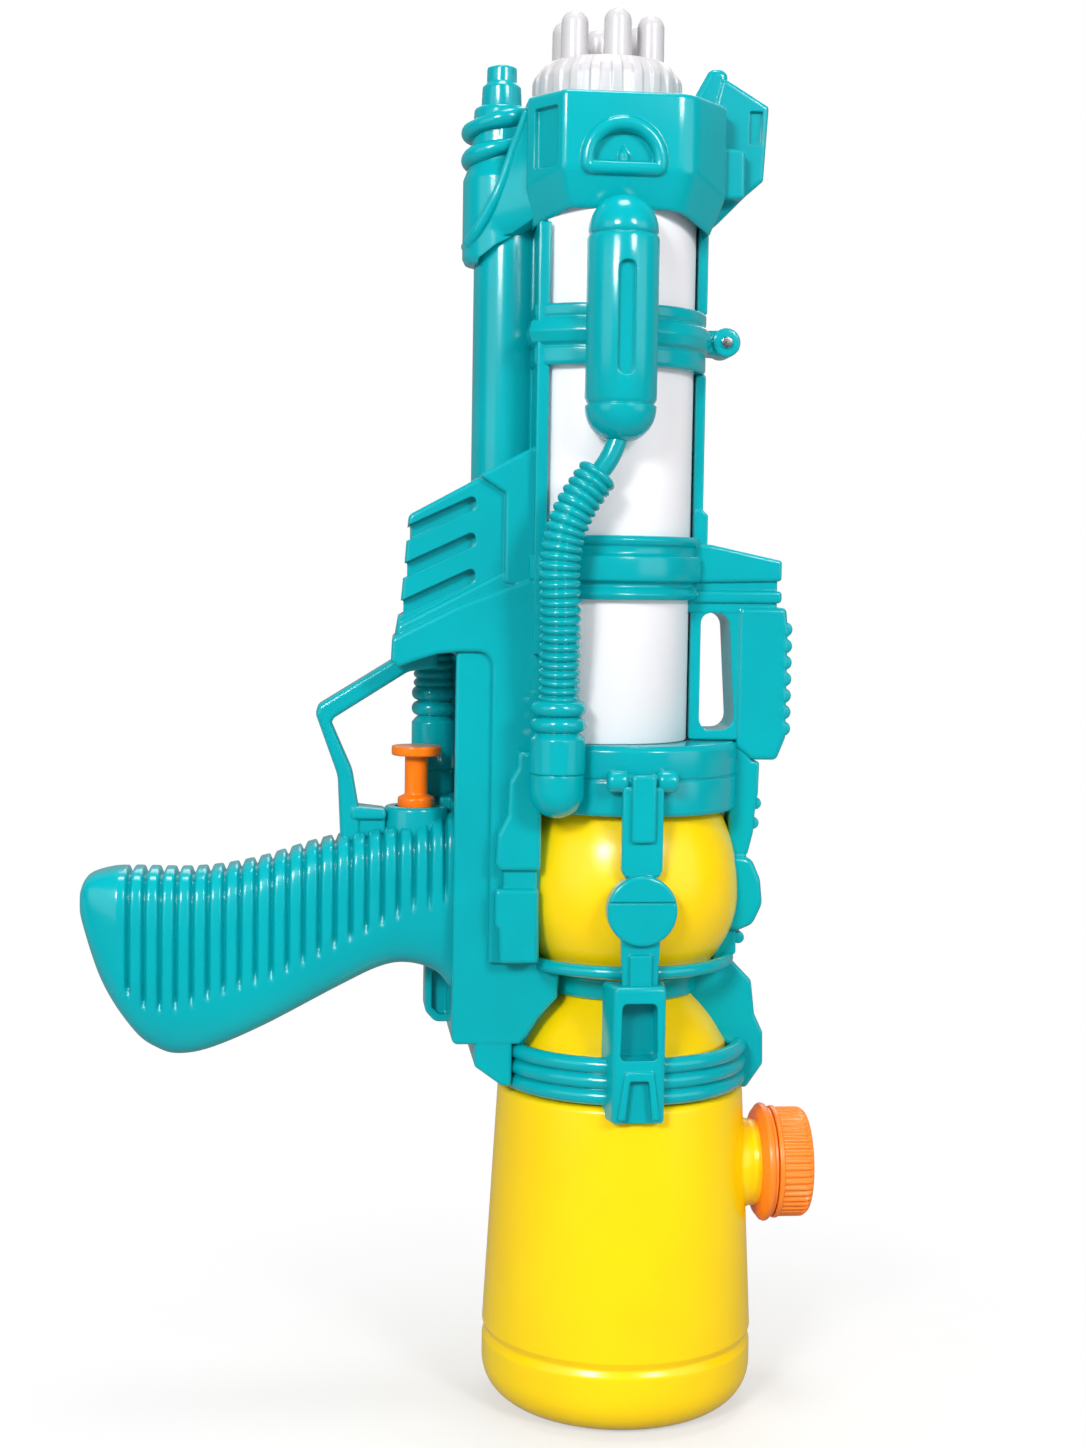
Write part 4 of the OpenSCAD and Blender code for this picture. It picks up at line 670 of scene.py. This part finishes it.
column = plate([(-51.5, 111), (-50.5, 109.6), (-31.8, 109.6), (-29.8, 112), (-26.6, 117), (-23.8, 120.2),
                (-21.2, 123), (-20.4, 131.4), (-26.6, 134), (-26.6, 228), (-46, 228), (-51.5, 222)], 18.2,
               1.0, [2, 2, 0.8, 2, 2, 2, 1, 1, 0.5, 1, 3, 2])
left_web = plate([(-37, 106), (-26, 106), (-19, 122), (-19, 131), (-37, 133)], 9, 0.8, 1)
bay_wall = block(rect(-54.4, 166, -50, 178.6), 4, 17, 0.8, 0.8)
bay_hollow = plate(rect(-60, 179, -43.6, 219.4), 15.6, 0.1, 1)
screw_holes = [screw_hole(-36.5, 118), screw_hole(-46.6, 188)]
column = carved(carved(column, bay_hollow), *screw_holes)
upper_panel = plate([(-34.2, 194.6), (-30.6, 194.6), (-27.2, 188), (-27.2, 160.8), (-38.8, 160.8),
                     (-40, 162.6), (-39.6, 171), (-36.9, 176.4), (-36.5, 186), (-34.2, 190.2)], 25.4,
                    1.3, 1.1)
middle_panel = plate(rect(-37.7, 153, -28, 163), 23.4)
lower_panel = plate([(-40, 155.6), (-27.6, 155.6), (-27.6, 134.2), (-38.5, 134.2), (-38.9, 144),
                     (-40, 145.4)], 25, 1.3, 1.1)
wedge = plate([(-44.8, 112), (-44.8, 103.2), (-36.8, 97.4), (-34, 97.4), (-34, 112)], 18, 1,
              [1, 1.5, 1, 1, 1])
hook = carved(block([(-58, 130), (-58, 114.6), (-55, 111.2), (-46, 111.2), (-46, 130)], 6, 18.6, 1,
                    [1, 3, 3, 1, 1]),
              block([(-56, 127), (-56, 115.6), (-53.6, 113.4), (-50.4, 113.4), (-50.4, 127)], 2, 9, 0.1, 1.6))
piece("casing_receiver", join(column, left_web, bay_wall, upper_panel, middle_panel, lower_panel, wedge,
                              hook), ["casing_front", "casing_back"])

# %% [markdown]
# The vent block leans forward. Three slots run in from its free edge and end in round noses; a raised plate
# and two slanting bands frame them. The slots are cut, and the edge between them is nicked so that the fins
# stand proud. The free edge leans in towards the far side, as the photograph shows nothing of its end face.

# %% Vent block
EDGE_LEAN = 0.038
HALF_DEPTH = 16.4
NOSE_X = -46.4
SLOT_END = -74
FAR_HOSE = (-56.2, 14.6)
body_block = plate([(-28, 281.4), (-65.4, 260.7), (-66.4, 247), (-67.3, 237), (-69.9, 221.4), (-62, 221.2),
                    (-50, 223), (-28, 221.6)], HALF_DEPTH, 1.2, [0.6, 2, 8, 8, 1.8, 3, 1, 1])
rise = math.tan(math.radians(25.5))
slots, nicks = [], []
for nose_z, floor_x in ((264.8, -64.7), (254.6, -65.6), (244.4, -66.6)):
    strips = []
    for start in (NOSE_X, floor_x):
        centre = np.array([(x, nose_z + rise * (x - NOSE_X)) for x in (start, SLOT_END)])
        strips.append(np.vstack([centre - [0, 2.1], centre[::-1] + [0, 2.1]]))
    slot = block(strips[0], -24, -13.4, 0.1, [2.0, 0.4, 0.4, 2.0])
    slots += [slot, flipped(slot)]
    nicks.append(block(strips[1], -24, 24, 0.1, 0.5))
vent_screw = screw_hole(-57.5, 238.4)
hose_hole = rod(6.4, 214, 221.3, (*FAR_HOSE, 0), steps=48)
vents = carved(carved(carved(body_block, *slots), *nicks), vent_screw, hose_hole)
side_plate = plate([(-28, 281.8), (-45.8, 272.2), (-38.2, 267.4), (-38.2, 242), (-28, 240)], 19, 1.0,
                   [0.6, 0.8, 1, 1, 1])
slant_low = plate([(-68.2, 229.6), (-38, 245.6), (-30, 247), (-30, 238), (-69, 222.6)], 18.2, 1.2,
                  [1, 1, 1, 1, 1.4])
slant_wide = carved(plate([(-69.7, 226), (-51.4, 235.4), (-26.8, 244.8), (-26.8, 133.4), (-41.4, 133.4),
                           (-41.4, 222.4), (-50, 222.4), (-57, 221.6), (-63.1, 219.6), (-68, 217.8),
                           (-70, 219.4)], 20.2, 1.2, [1.2, 6, 0.6, 0.6, 1, 4, 3, 4, 4, 1, 1]),
                    hose_hole, vent_screw, *screw_holes)
vent_points, vent_faces = join(vents, side_plate, slant_low, slant_wide)
near_edge = np.clip((-63 - vent_points[:, 0]) / 2, 0, 1)
vent_points[:, 0] += EDGE_LEAN * (vent_points[:, 1] + HALF_DEPTH) * near_edge
piece("casing_vents", (vent_points, vent_faces))

# %% [markdown]
# The guard is a thin bar bent round the trigger. Its outline is written as outer and inner corners in turn.

# %% Trigger guard, lower barrel and rail
guard = plate([(-56, 223), (-67.3, 220.4), (-90.2, 206), (-91, 203.4), (-84.5, 185.6), (-83.4, 164),
               (-77.6, 164), (-78.4, 177), (-80.2, 187), (-86.4, 201), (-85.6, 202.4), (-64.4, 216),
               (-56, 217)], 5.4, 1.35, [1, 5, 2.4, 2.4, 12, 1, 1, 4, 12, 1.4, 1.4, 6, 1])
guard_lip = plate([(-80.6, 177), (-70.4, 175.8), (-70.4, 173), (-80.6, 173)], 6, 1.0, 1.2)
guard_foot = plate(rect(-80.4, 176, -70.6, 162), 4.4, 0.8, 1)
barrel = rod(9.6, 250, 346, (PIPE + 2.2, 0, 0), "Z", 72, 0.5)
rail = block(both_sides([(-30.2, -22.6), (-26.8, -22.6), (-26.8, -20.6), (-27.6, -20.2)]), 222, 342.6, 0.4,
             0.4, "XY")
pipe_rib = block(rect(-33, -7, -29.6, 7), 256, 342, 0.4, 0.8, "XY")
piece("casing_guard", join(guard, guard_lip, guard_foot))
piece("casing_barrel", join(barrel, rail, pipe_rib))

# %% [markdown]
# ## The grip
# The grip is a soft loft with twenty-one grooves pressed into its sides and over its back. One function of
# two parameters does it all: x runs along the grip and an angle runs round it. The section is a rounded
# square, and the groove depth is a narrow pulse along x that fades out below a slanting line.

# %% Grip
GRIP_END = -157.6
FIRST_GROOVE = -143.5
GROOVE_PITCH = 4.5


def grip_skin(stations=760, around=112):
    """(x, d cos^0.5, mid + h sin^0.62), d and h less the groove: depth * pulse(x)^5 * fade(z) * fade(x)."""
    top = spline([(-158, 151), (-155.8, 155.8), (-150, 158), (-143, 158.5), (-123.5, 158.5), (-107, 161.2),
                  (-86.3, 167.4), (-54, 174.2), (-44, 175.4)])
    low = spline([(-158, 150), (-157, 142.8), (-151, 125.3), (-142, 111.5), (-135.5, 106.5), (-129.3, 104.8),
                  (-120, 106.5), (-105, 113), (-84, 124.2), (-72, 130), (-64, 131.2), (-56, 128.8),
                  (-51, 123), (-44, 114)])
    ends = np.array([(-152, 135), (-146, 126.4), (-141.9, 120.8), (-137, 118), (-130, 118.8), (-102, 128),
                     (-58, 150), (-40, 158)])
    x = np.concatenate([GRIP_END + 8 * np.linspace(0, 1, 40) ** 2,
                        np.linspace(-149.4, -46, stations - 40)])[:, None]
    high, deep = np.interp(x, *top.T), np.interp(x, *low.T)
    middle, half = (high + deep) / 2, (high - deep) / 2
    thick = 14 * np.minimum(1, 0.42 + 0.58 * np.sqrt(np.clip((x - GRIP_END) / 11, 0, 1)))
    angle = full_turn(around)[None]
    up = np.sign(np.sin(angle)) * np.abs(np.sin(angle)) ** 0.62
    out = np.sign(np.cos(angle)) * np.abs(np.cos(angle)) ** 0.5
    pulse = (0.5 + 0.5 * np.cos(2 * np.pi * (x - FIRST_GROOVE) / GROOVE_PITCH)) ** 5
    zone = np.clip((middle + half * up - np.interp(x, *ends.T)) / 1.6, 0, 1)
    zone = zone * zone * (3 - 2 * zone) * np.clip((x + 145.9) / 0.6, 0, 1) * np.clip((-51.4 - x) / 0.4, 0, 1)
    groove = 1.9 * pulse * zone
    return np.stack([np.broadcast_to(x, groove.shape), -(thick - groove) * out,
                     middle + (half - groove) * up], -1)


grip_screws = [screw_hole(-96.3, 142.2), screw_hole(-133.6, 127.3)]
piece("casing_grip", carved(stack_skin(grip_skin()), *grip_screws), crease=50)

# %% [markdown]
# ## Pump and trigger
# The orange trigger is a turned button: finger disc, stem and flange. It slides down into the pump's collar.

# %% Pump collar and trigger
TRIGGER = -61.6
pump_line = round_line([(6.2, 141.7), (6.2, 176.7), (9.3, 176.7), (9.3, 138.7), (0, 138.7)], [0.5, 1.2, 0.6])
pump_line = np.vstack([[(0, 141.7)], pump_line])
piece("pump_collar", join(turned(pump_line, (TRIGGER, 0, 0), "Z", 72),
                          rod(1.55, -52.6, -46.2, (0, 0, 145.1), "X", 24)), ["pump_cylinder"])
button_line = round_line([(0, 166.3), (2.4, 166.3), (2.4, 175.9), (5.4, 175.9), (5.4, 179.1), (3.4, 180),
                          (3.4, 191.2), (7.3, 191.4), (7.3, 194.2), (0, 194.2)],
                         [0.1, 0.1, 0.7, 0.9, 0.6, 0.5, 0.6, 0.5], 8)
piece("trigger_button", turned(button_line, (TRIGGER, 0, 0), "Z", 72), ["trigger"], "trigger_orange",
      "trigger_plunger")
COILS = 6
coil = np.linspace(0, COILS, 241)
coil_path = np.stack([TRIGGER + 4.6 * np.cos(2 * np.pi * coil), 4.6 * np.sin(2 * np.pi * coil),
                      142.35 + 15.3 * coil / COILS], 1)
spring = piece("return_spring", tube(coil_path, 0.5, 10, (0, 0, 1)), ["pump_spring"], "steel")
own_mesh(spring)

# %% [markdown]
# ## Ribbed hose
# The hose leaves the capsule as a plain neck and then carries ribs all the way to its cup. Its skin is a
# circle carried along the route whose radius swells at every rib.

# %% Hoses and cups
def ribbed_tube(route, ribs, first, last, crest=5.9, valley=4.7, neck=2.8):
    """Radius along the hose: valley + (crest - valley) |sin|^0.7 of the rib's phase, and a plain neck."""
    line = spline(route, 60)
    run = np.concatenate([[0], np.cumsum(np.linalg.norm(np.diff(line, axis=0), axis=1))])
    even = np.linspace(0, run[-1], ribs * 16)
    path = np.stack([np.interp(even, run, line[:, i]) for i in range(3)], 1)
    share = even / run[-1]
    phase = (share - first) / (last - first) * ribs
    ribbed = (share > first) & (share < last)
    swell = np.abs(np.sin(np.pi * phase)) ** 0.7
    radius = np.where(ribbed, valley + (crest - valley) * swell, neck)
    return tube(path, radius, 40)


HOSE_CUP = (-23.7, -31)
hose_route = [(-8, -34, 284), (-11.2, -34.6, 276.6), (-16.2, -35.4, 269.6), (-20.6, -36, 262.6),
              (-23.4, -36, 255), (-24.5, -35.8, 246), (-24.1, -35, 236), (-23.8, -33.2, 224),
              (-23.7, -31.4, 213), (*HOSE_CUP, 209)]
far_route = [(*FAR_HOSE, z) for z in (210.6, 214, 218, 221)]
piece("ribbed_hose", ribbed_tube(hose_route, 27, 0.16, 1.0), ["corrugated_hose"], "teal_hose")
piece("ribbed_hose_far", ribbed_tube(far_route, 4, 0.0, 1.0, 5.9, 4.9), ["back_hose"], "teal_hose")


def cup_line(radius, low, high, seam):
    """Profile of a hose cup: round bottom, a fine seam, a straight wall and two thick rings at the mouth."""
    belly = np.linspace(-np.pi / 2, 0, 14)
    bottom = arc(belly, 0, low + 0.95 * radius, radius - 0.2, 0.95 * radius)
    wall = [(radius - 0.2, seam - 0.3), (radius - 0.6, seam), (radius, seam + 0.3), (radius, high - 11),
            (radius - 1.2, high - 9.6)]
    swell = np.linspace(-0.46 * np.pi, 0.46 * np.pi, 12)
    rings = [arc(swell, radius - 2.1, middle, 2.2, 2.2) for middle in (high - 6.9, high - 2.4)]
    return np.vstack([bottom, wall, *rings, [(radius - 3, high - 0.2), (0, high - 0.2)]])


piece("hose_cup_turned", turned(cup_line(7.8, 176.6, 209.8, 189), (*HOSE_CUP, 0), "Z", 64), ["hose_cup"])
piece("hose_cup_far", turned(cup_line(6.3, 174.8, 211.2, 186), (*FAR_HOSE, 0), "Z", 64), ["back_hose_cup"])

# %% [markdown]
# The capsule is a rounded bottle on the sleeve's side with two end seams and a long shallow slot down its
# face.

# %% Capsule
low_end = np.stack([9.9 * np.sin(quarter), 290.6 - 9.6 * np.cos(quarter)], 1)
high_end = arc(quarter, 0, 338.6, 9.7, 10.2)
capsule_line = np.vstack([low_end, [(9.9, 291.2), (9.2, 291.7), (9.6, 292.3), (10, 293.2), (10, 336.6),
                                    (9.7, 337.4), (9.1, 337.9), (9.6, 338.3)], high_end])
capsule = turned(capsule_line, (-8, -33, 0), "Z", 96)
groove = block(rect(-10.4, 299, -5.6, 330), -50, -41.4, 0.1, 2.3)
piece("capsule_bottle", carved(capsule, groove), ["side_capsule"])

# %% [markdown]
# ## Bands round the sleeve
# The clamp and the handle's band follow the sleeve's D-shaped outline: a profile of offset and height is
# carried round it. The clamp closes on a pin at its right end.

# %% Clamp
PIN = (26.4, 0, 312.4)
clamp_line = round_loop([(-0.2, 303), (3, 303), (3.4, 304), (3.4, 307.6), (2.9, 308.4), (4.4, 309.4),
                         (5.2, 312.3), (4.4, 315.2), (2.9, 316.2), (3.4, 317), (3.4, 319.4), (3, 320),
                         (-0.2, 320)], 0.5, 4)
lug = join(rod(4.2, -6, 6, PIN, "Y", 48, 0.8),
           plate([(17, 309.2), (26.4, 308.6), (26.4, 316), (17, 315.6)], 5.4, 0.8, 0.8))
piece("clamp_band", join(band(d_outline, clamp_line), lug), ["clamp_front", "clamp_back"])
pin_line = round_line(both_sides([(0, -7.2), (1.5, -7.2), (1.7, -6.4), (1.5, -5.8)]), 0.3)
piece("clamp_pin_turned", turned(pin_line, PIN, "Y", 32), ["clamp_pin"], "steel")

# %% [markdown]
# The carry handle hangs from a band of two beads and a flat belt. Its bar has seven bumps for the fingers.

# %% Handle
belt_line = round_loop([(-0.2, 237.8), (2.4, 237.8), (3.2, 239.2), (2.4, 240.8), (1.8, 241.4), (1.8, 242.6),
                        (3.9, 243.2), (3.9, 250), (1.8, 250.6), (1.8, 252.8), (2.6, 253.4), (3.2, 254.6),
                        (2.4, 255.8), (-0.2, 255.8)], 0.6, 4)
span = plate([(16, 254), (22.4, 254), (43.6, 249.6), (43.6, 243.6), (16, 242.8)], 9.6, 1.0, 1.0)
span_low = plate([(16, 240.6), (43.8, 240.8), (43.8, 237.2), (16, 237)], 9.4, 1.0, 1.2)
web_plate = plate([(16, 252), (42.6, 247.6), (42.6, 234.2), (16, 234.2)], 8.2, 0.6, 1.0)
bar = plate([(31.4, 236), (45.4, 236), (46, 230), (46, 198), (43.4, 191.4), (36, 191.4), (31.4, 195)], 9,
            1.4, [1.6, 1.6, 2, 2, 1.8, 2.4, 2.4])
bumps = [rod(2.2, -8.8, 8.8, (45.2, 0, z), "Y", 40, 1.2) for z in np.linspace(200.6, 229.6, 7)]
hand_hole = plate([(20.2, 234.2), (28.6, 234.2), (30.8, 200), (20.2, 200)], 20, 0.1, [3, 4, 4, 3.4])
loop_frame = carved(plate(rect(17.2, 236.4, 36, 197.1), 8, 0.8, 1), hand_hole)
bar = carved(bar, hand_hole)
side_rail = plate(rect(17.7, 254, 20.6, 302.9), 6, 0.5, 0.6)
side_step = plate([(17.9, 253), (22, 253), (22, 262.4), (20.4, 264), (17.9, 264)], 6.5, 0.5, 0.6)
piece("handle_grip", join(span, span_low, web_plate, bar, *bumps, loop_frame, side_rail, side_step),
      ["handle_front", "handle_back"])
piece("handle_band", band(d_outline, belt_line))

# %% [markdown]
# ## Cradle
# A collar covers the bottle's mouth, a bead and a band ring its waist, and three hoops grip its shoulder. A
# spine of stepped plates joins them on the right.

# %% Collar, waist and hoops
collar_line = round_loop([(18, 193.6), (18, 196.9), (31.6, 196.9), (32.6, 195.4), (32.6, 187.8),
                          (31.9, 187.3), (32.6, 186.8), (32.6, 178), (32, 177), (28.8, 177), (28.8, 179),
                          (29.6, 193.6)], [0.5, 0.5, 1, 1, 0.3, 0.3, 0.3, 0.8, 0.5, 0.5, 0.5, 0.5], 5)
waist_line = round_loop([(19, 122.8), (22, 122.8), (22.6, 124), (22.6, 128.4), (22, 129.4),
                         (19, 129.4)], 0.6, 4)
piece("collar_ring", turned_ring(collar_line, steps=160), ["cradle_front", "cradle_back"])
piece("waist_rings", join(turned_ring(bead(31, 132.6, 1.9)), turned_ring(waist_line)))
piece("tank_hoops", join(*(turned_ring(bead(35.1, z, 2.3)) for z in (97.9, 102.4, 106.9))))

# %% [markdown]
# The spine is drawn in side view: a stepped plate at the top, a round lobe, a plain plate behind it and a fin
# that reaches down over the hoops. Three small nubs run across its edge.

# %% Spine
spine_top = plate([(29, 196.4), (33, 196.4), (36.4, 191), (38.6, 191), (38.4, 181.6), (37.6, 176),
                   (37.2, 170), (35.6, 163.2), (30, 163.2)], 8, 1, 1.2)
nubs = [rod(1.8, -7, 7, (x, 0, z), "Y", 24, 0.8) for x, z in ((37.8, 178.4), (37.2, 172.6), (33.6, 138.6))]
lobe = plate([(28, 163.6), (36.4, 162.8), (39.2, 156.4), (40, 149), (37.2, 143), (32.6, 141), (28, 142)],
             10.4, 1.6, [1, 4, 6, 6, 4, 3, 1])
spine_mid = plate([(26, 165), (35.4, 164), (35, 143), (32.6, 141.4), (32.8, 134), (26, 131)], 8, 1, 1)
fin = plate([(19, 131.4), (31, 132.8), (37.6, 126), (38.8, 116), (41.4, 110.4), (41.6, 101), (36.4, 93.4),
             (34, 95), (34, 106), (30, 107), (24, 116), (19, 121)], 8, 1.2,
            [1, 2, 3, 3, 2, 2, 2, 1, 1, 2, 2, 1])
piece("cradle_spine", join(spine_top, spine_mid, lobe, fin, *nubs))

# %% [markdown]
# ## Strap and buckle
# A strap hangs from two knuckles on the collar, carries a round disc, and tucks into a buckle with an open
# window.

# %% Strap
FRONT = -34.2
HINGE = (0, -34, 187.4)
knuckles = [rod(3.2, x - 3, x + 3, HINGE, "X", 40, 1.9) for x in (-7, 7)]
hinge_bar = rod(2, -6, 6, HINGE, "X")
tongue = block(rect(-3.4, 189.4, 3.4, 170.4), FRONT - 4.4, FRONT, 0.9, 1.2)
tab = block([(-5.8, 186), (5.8, 186), (5.8, 162.4), (4.8, 160.6), (-4.8, 160.6), (-5.8, 162.4)], FRONT - 2.6,
            FRONT + 1, 0.8, 1)
disc = block(arc(full_turn(64), 0, 151.4, 9.9, 9.9), FRONT - 5, FRONT + 1, 0.9, 0.05, steps=2)
line_cut = block(rect(-12, 153.6, 12, 154.1), FRONT - 8, FRONT - 4.5, 0.02, 0.02, steps=2)
tail = block([(-5.6, 144), (5.6, 144), (5, 129), (-5, 129)], FRONT - 2.6, FRONT + 1, 0.7, 0.8)
tail_plate = block(rect(-3.2, 139, 3.2, 128.6), FRONT - 4, FRONT, 0.7, 0.8)
piece("strap_plate", join(*knuckles, hinge_bar, tongue, tab, carved(disc, line_cut), tail, tail_plate),
      ["tank_strap"])

# %% [markdown]
# The buckle's shell is drawn from above and carried upwards. An opening and a notch are cut into its face,
# and a raised vee frames the notch.

# %% Buckle
BACK = -36.4
shell = block([(-10.4, BACK + 6), (-7.6, BACK - 4.4), (6.8, BACK - 4.4), (8, BACK + 6)], 91.6, 130.4, 1.3,
              1.5, "XY")
opening = block([(-5.8, 109.6), (4.8, 109.6), (4.4, 125.8), (-5.4, 125.8)], BACK - 12, BACK + 4.4, 0.1, 1.5)
notch = block([(-3.6, 104.6), (2.8, 104.6), (4.4, 88), (-5.2, 88)], BACK - 12, BACK - 2.6, 0.1, 0.6)
vee = block([(-4.4, 106.6), (3.6, 106.6), (5.6, 93), (3.4, 93), (2.2, 104), (-3, 104), (-4.2, 93),
             (-6.4, 93)], BACK - 5.4, BACK - 2, 0.5, 0.6)
piece("buckle_frame", join(carved(shell, opening, notch), vee), ["strap_buckle"])

# %% [markdown]
# ## Camera, light and floor
# The camera stands where the photograph was taken from: a little to the left and above, tilted by under a
# degree. The floor fades to plain white away from the toy, so that no horizon shows.

# %% Camera
def camera_axes(turn, pitch, roll):
    """Right, up and back of a camera turned about Z, pitched down and rolled, as the columns of a matrix."""
    ahead0 = np.array([math.sin(turn), math.cos(turn), 0])
    right = np.array([math.cos(turn), -math.sin(turn), 0])
    ahead = math.cos(pitch) * ahead0 - math.sin(pitch) * np.array([0, 0, 1])
    up = np.cross(right, ahead)
    cos, sin = math.cos(roll), math.sin(roll)
    return cos * right - sin * up, cos * up + sin * right, -ahead


SENSOR = 36.0
FOCAL_PIXELS, TALL_PIXELS = 2149.3, 1448
EYE = (-90.4, -625.5, 244.57)
lens = bpy.data.cameras.new("view")
lens.sensor_fit, lens.sensor_height, lens.lens = "VERTICAL", SENSOR, FOCAL_PIXELS * SENSOR / TALL_PIXELS
lens.clip_start, lens.clip_end = 0.01, 20
eye = bpy.data.objects.new("view", lens)
bpy.context.scene.collection.objects.link(eye)
axes = camera_axes(math.radians(6), 0.0695, -0.016)
rows = [[*(float(axis[i]) for axis in axes), place * MM] for i, place in enumerate(EYE)]
eye.matrix_world = Matrix(rows + [[0, 0, 0, 1]])
bpy.context.scene.camera = eye
print("lens", round(lens.lens, 2))

# %% [markdown]
# The floor's material asks Light Path which kind of ray arrives. Camera and mirrors see it as white, while
# the light that it throws back on the toy stays modest. Near the toy half of what the camera sees is a plain
# matt floor, which keeps the shadow.

# %% Floor
def ray_kinds(tree):
    """Two switches: 1 for rays from the camera, and 1 for rays from a mirror or from clear plastic."""
    camera, mirror, clear = (tree.make("LightPath", output=f"Is {kind} Ray")
                             for kind in ("Camera", "Glossy", "Transmission"))
    return camera, (1 - camera) * (1 - (1 - mirror) * (1 - clear))


def floor_finish():
    """Pale diffuse floor near the toy that turns into plain white away from it."""
    finish, tree = new_tree("pale_floor")
    place = tree.make("TexCoord", output="Object")
    away = tree.make("VectorMath", {"operation": "LENGTH"}, {0: place}, output=1)
    speck = place.noise(40.0)
    camera, mirror = ray_kinds(tree)
    pale = 0.4 + 0.38 * camera + 0.03 * speck
    tone = tree.make("CombineColor", None, {"Red": pale, "Green": pale, "Blue": pale})
    matt = tree.make("BsdfDiffuse", None, {"Color": tone})
    behind = place.along_y().smooth(-0.3, 0.05)
    glow = camera + 0.3 * mirror * behind
    shade = tree.make("CombineColor", None, {0: glow, 1: glow, 2: glow})
    white = tree.make("Emission", None, {"Color": shade, "Strength": 1.0})
    fade = 0.5 + 0.5 * away.smooth(0.05, 0.22)
    skin = tree.make("MixShader", None, {0: fade * camera + mirror, 1: matt, 2: white})
    tree.make("OutputMaterial", None, {"Surface": skin})
    return finish


FLOOR = 3000
floor_corners = np.array(rect(-FLOOR, -FLOOR, FLOOR, FLOOR), float)
floor = bare_object("floor", (on_wall(floor_corners, 0, "XY"), [[0, 1, 2, 3]]))
floor.data.materials.append(floor_finish())
print("floor", floor.dimensions[:])

# %% [markdown]
# Two small lamps in front make the highlights, two large weak boxes lighten the flanks, and one lamp above
# and one behind lift the top edges and the back. The world is white to the camera and dimmer for other rays.

# %% Lights
def panel(name, place, aim, size, power):
    """A soft square lamp at place that faces aim, in metres and watts."""
    lamp = bpy.data.lights.new(name, "AREA")
    lamp.shape, lamp.size, lamp.energy = "SQUARE", size, power
    made = bpy.data.objects.new(name, lamp)
    bpy.context.scene.collection.objects.link(made)
    back = np.asarray(place, float) - np.asarray(aim, float)
    back /= np.linalg.norm(back)
    right = np.cross((0, 0, 1) if abs(back[2]) < 0.99 else (0, 1, 0), back)
    right /= np.linalg.norm(right)
    rows = np.stack([right, np.cross(back, right), back], 1)
    made.matrix_world = Matrix([[*rows[i].tolist(), place[i]] for i in range(3)] + [[0, 0, 0, 1]])


panel("key", (-0.9, -1.6, 1.0), (0, 0, 0.2), 0.4, 24)
panel("fill", (0.8, -1.6, 1.1), (0, 0, 0.2), 0.4, 16)
panel("left_box", (-1.35, -0.9, 0.55), (0, 0, 0.25), 1.0, 3)
panel("right_box", (1.3, -0.95, 0.55), (0, 0, 0.25), 1.0, 3.5)
panel("top", (0.0, 0.0, 2.2), (0, 0, 0.2), 0.6, 15)
panel("back", (0.3, 1.6, 1.3), (0, 0, 0.2), 1.3, 11)
world = bpy.data.worlds.new("studio")
world.use_nodes = True
world.node_tree.nodes.clear()
sky = Link(world.node_tree)
camera, mirror = ray_kinds(sky)
heading = sky.make("TexCoord", output="Generated")
backdrop = heading.along_y().smooth(0.1, 0.5)
level = 0.32 + 0.68 * camera + mirror * (0.27 * backdrop - 0.29)
glow = sky.make("Background", None, {"Color": (1, 1, 1, 1), "Strength": level})
sky.make("OutputWorld", None, {"Surface": glow})
bpy.context.scene.world = world
bpy.context.scene.view_settings.view_transform = "Standard"
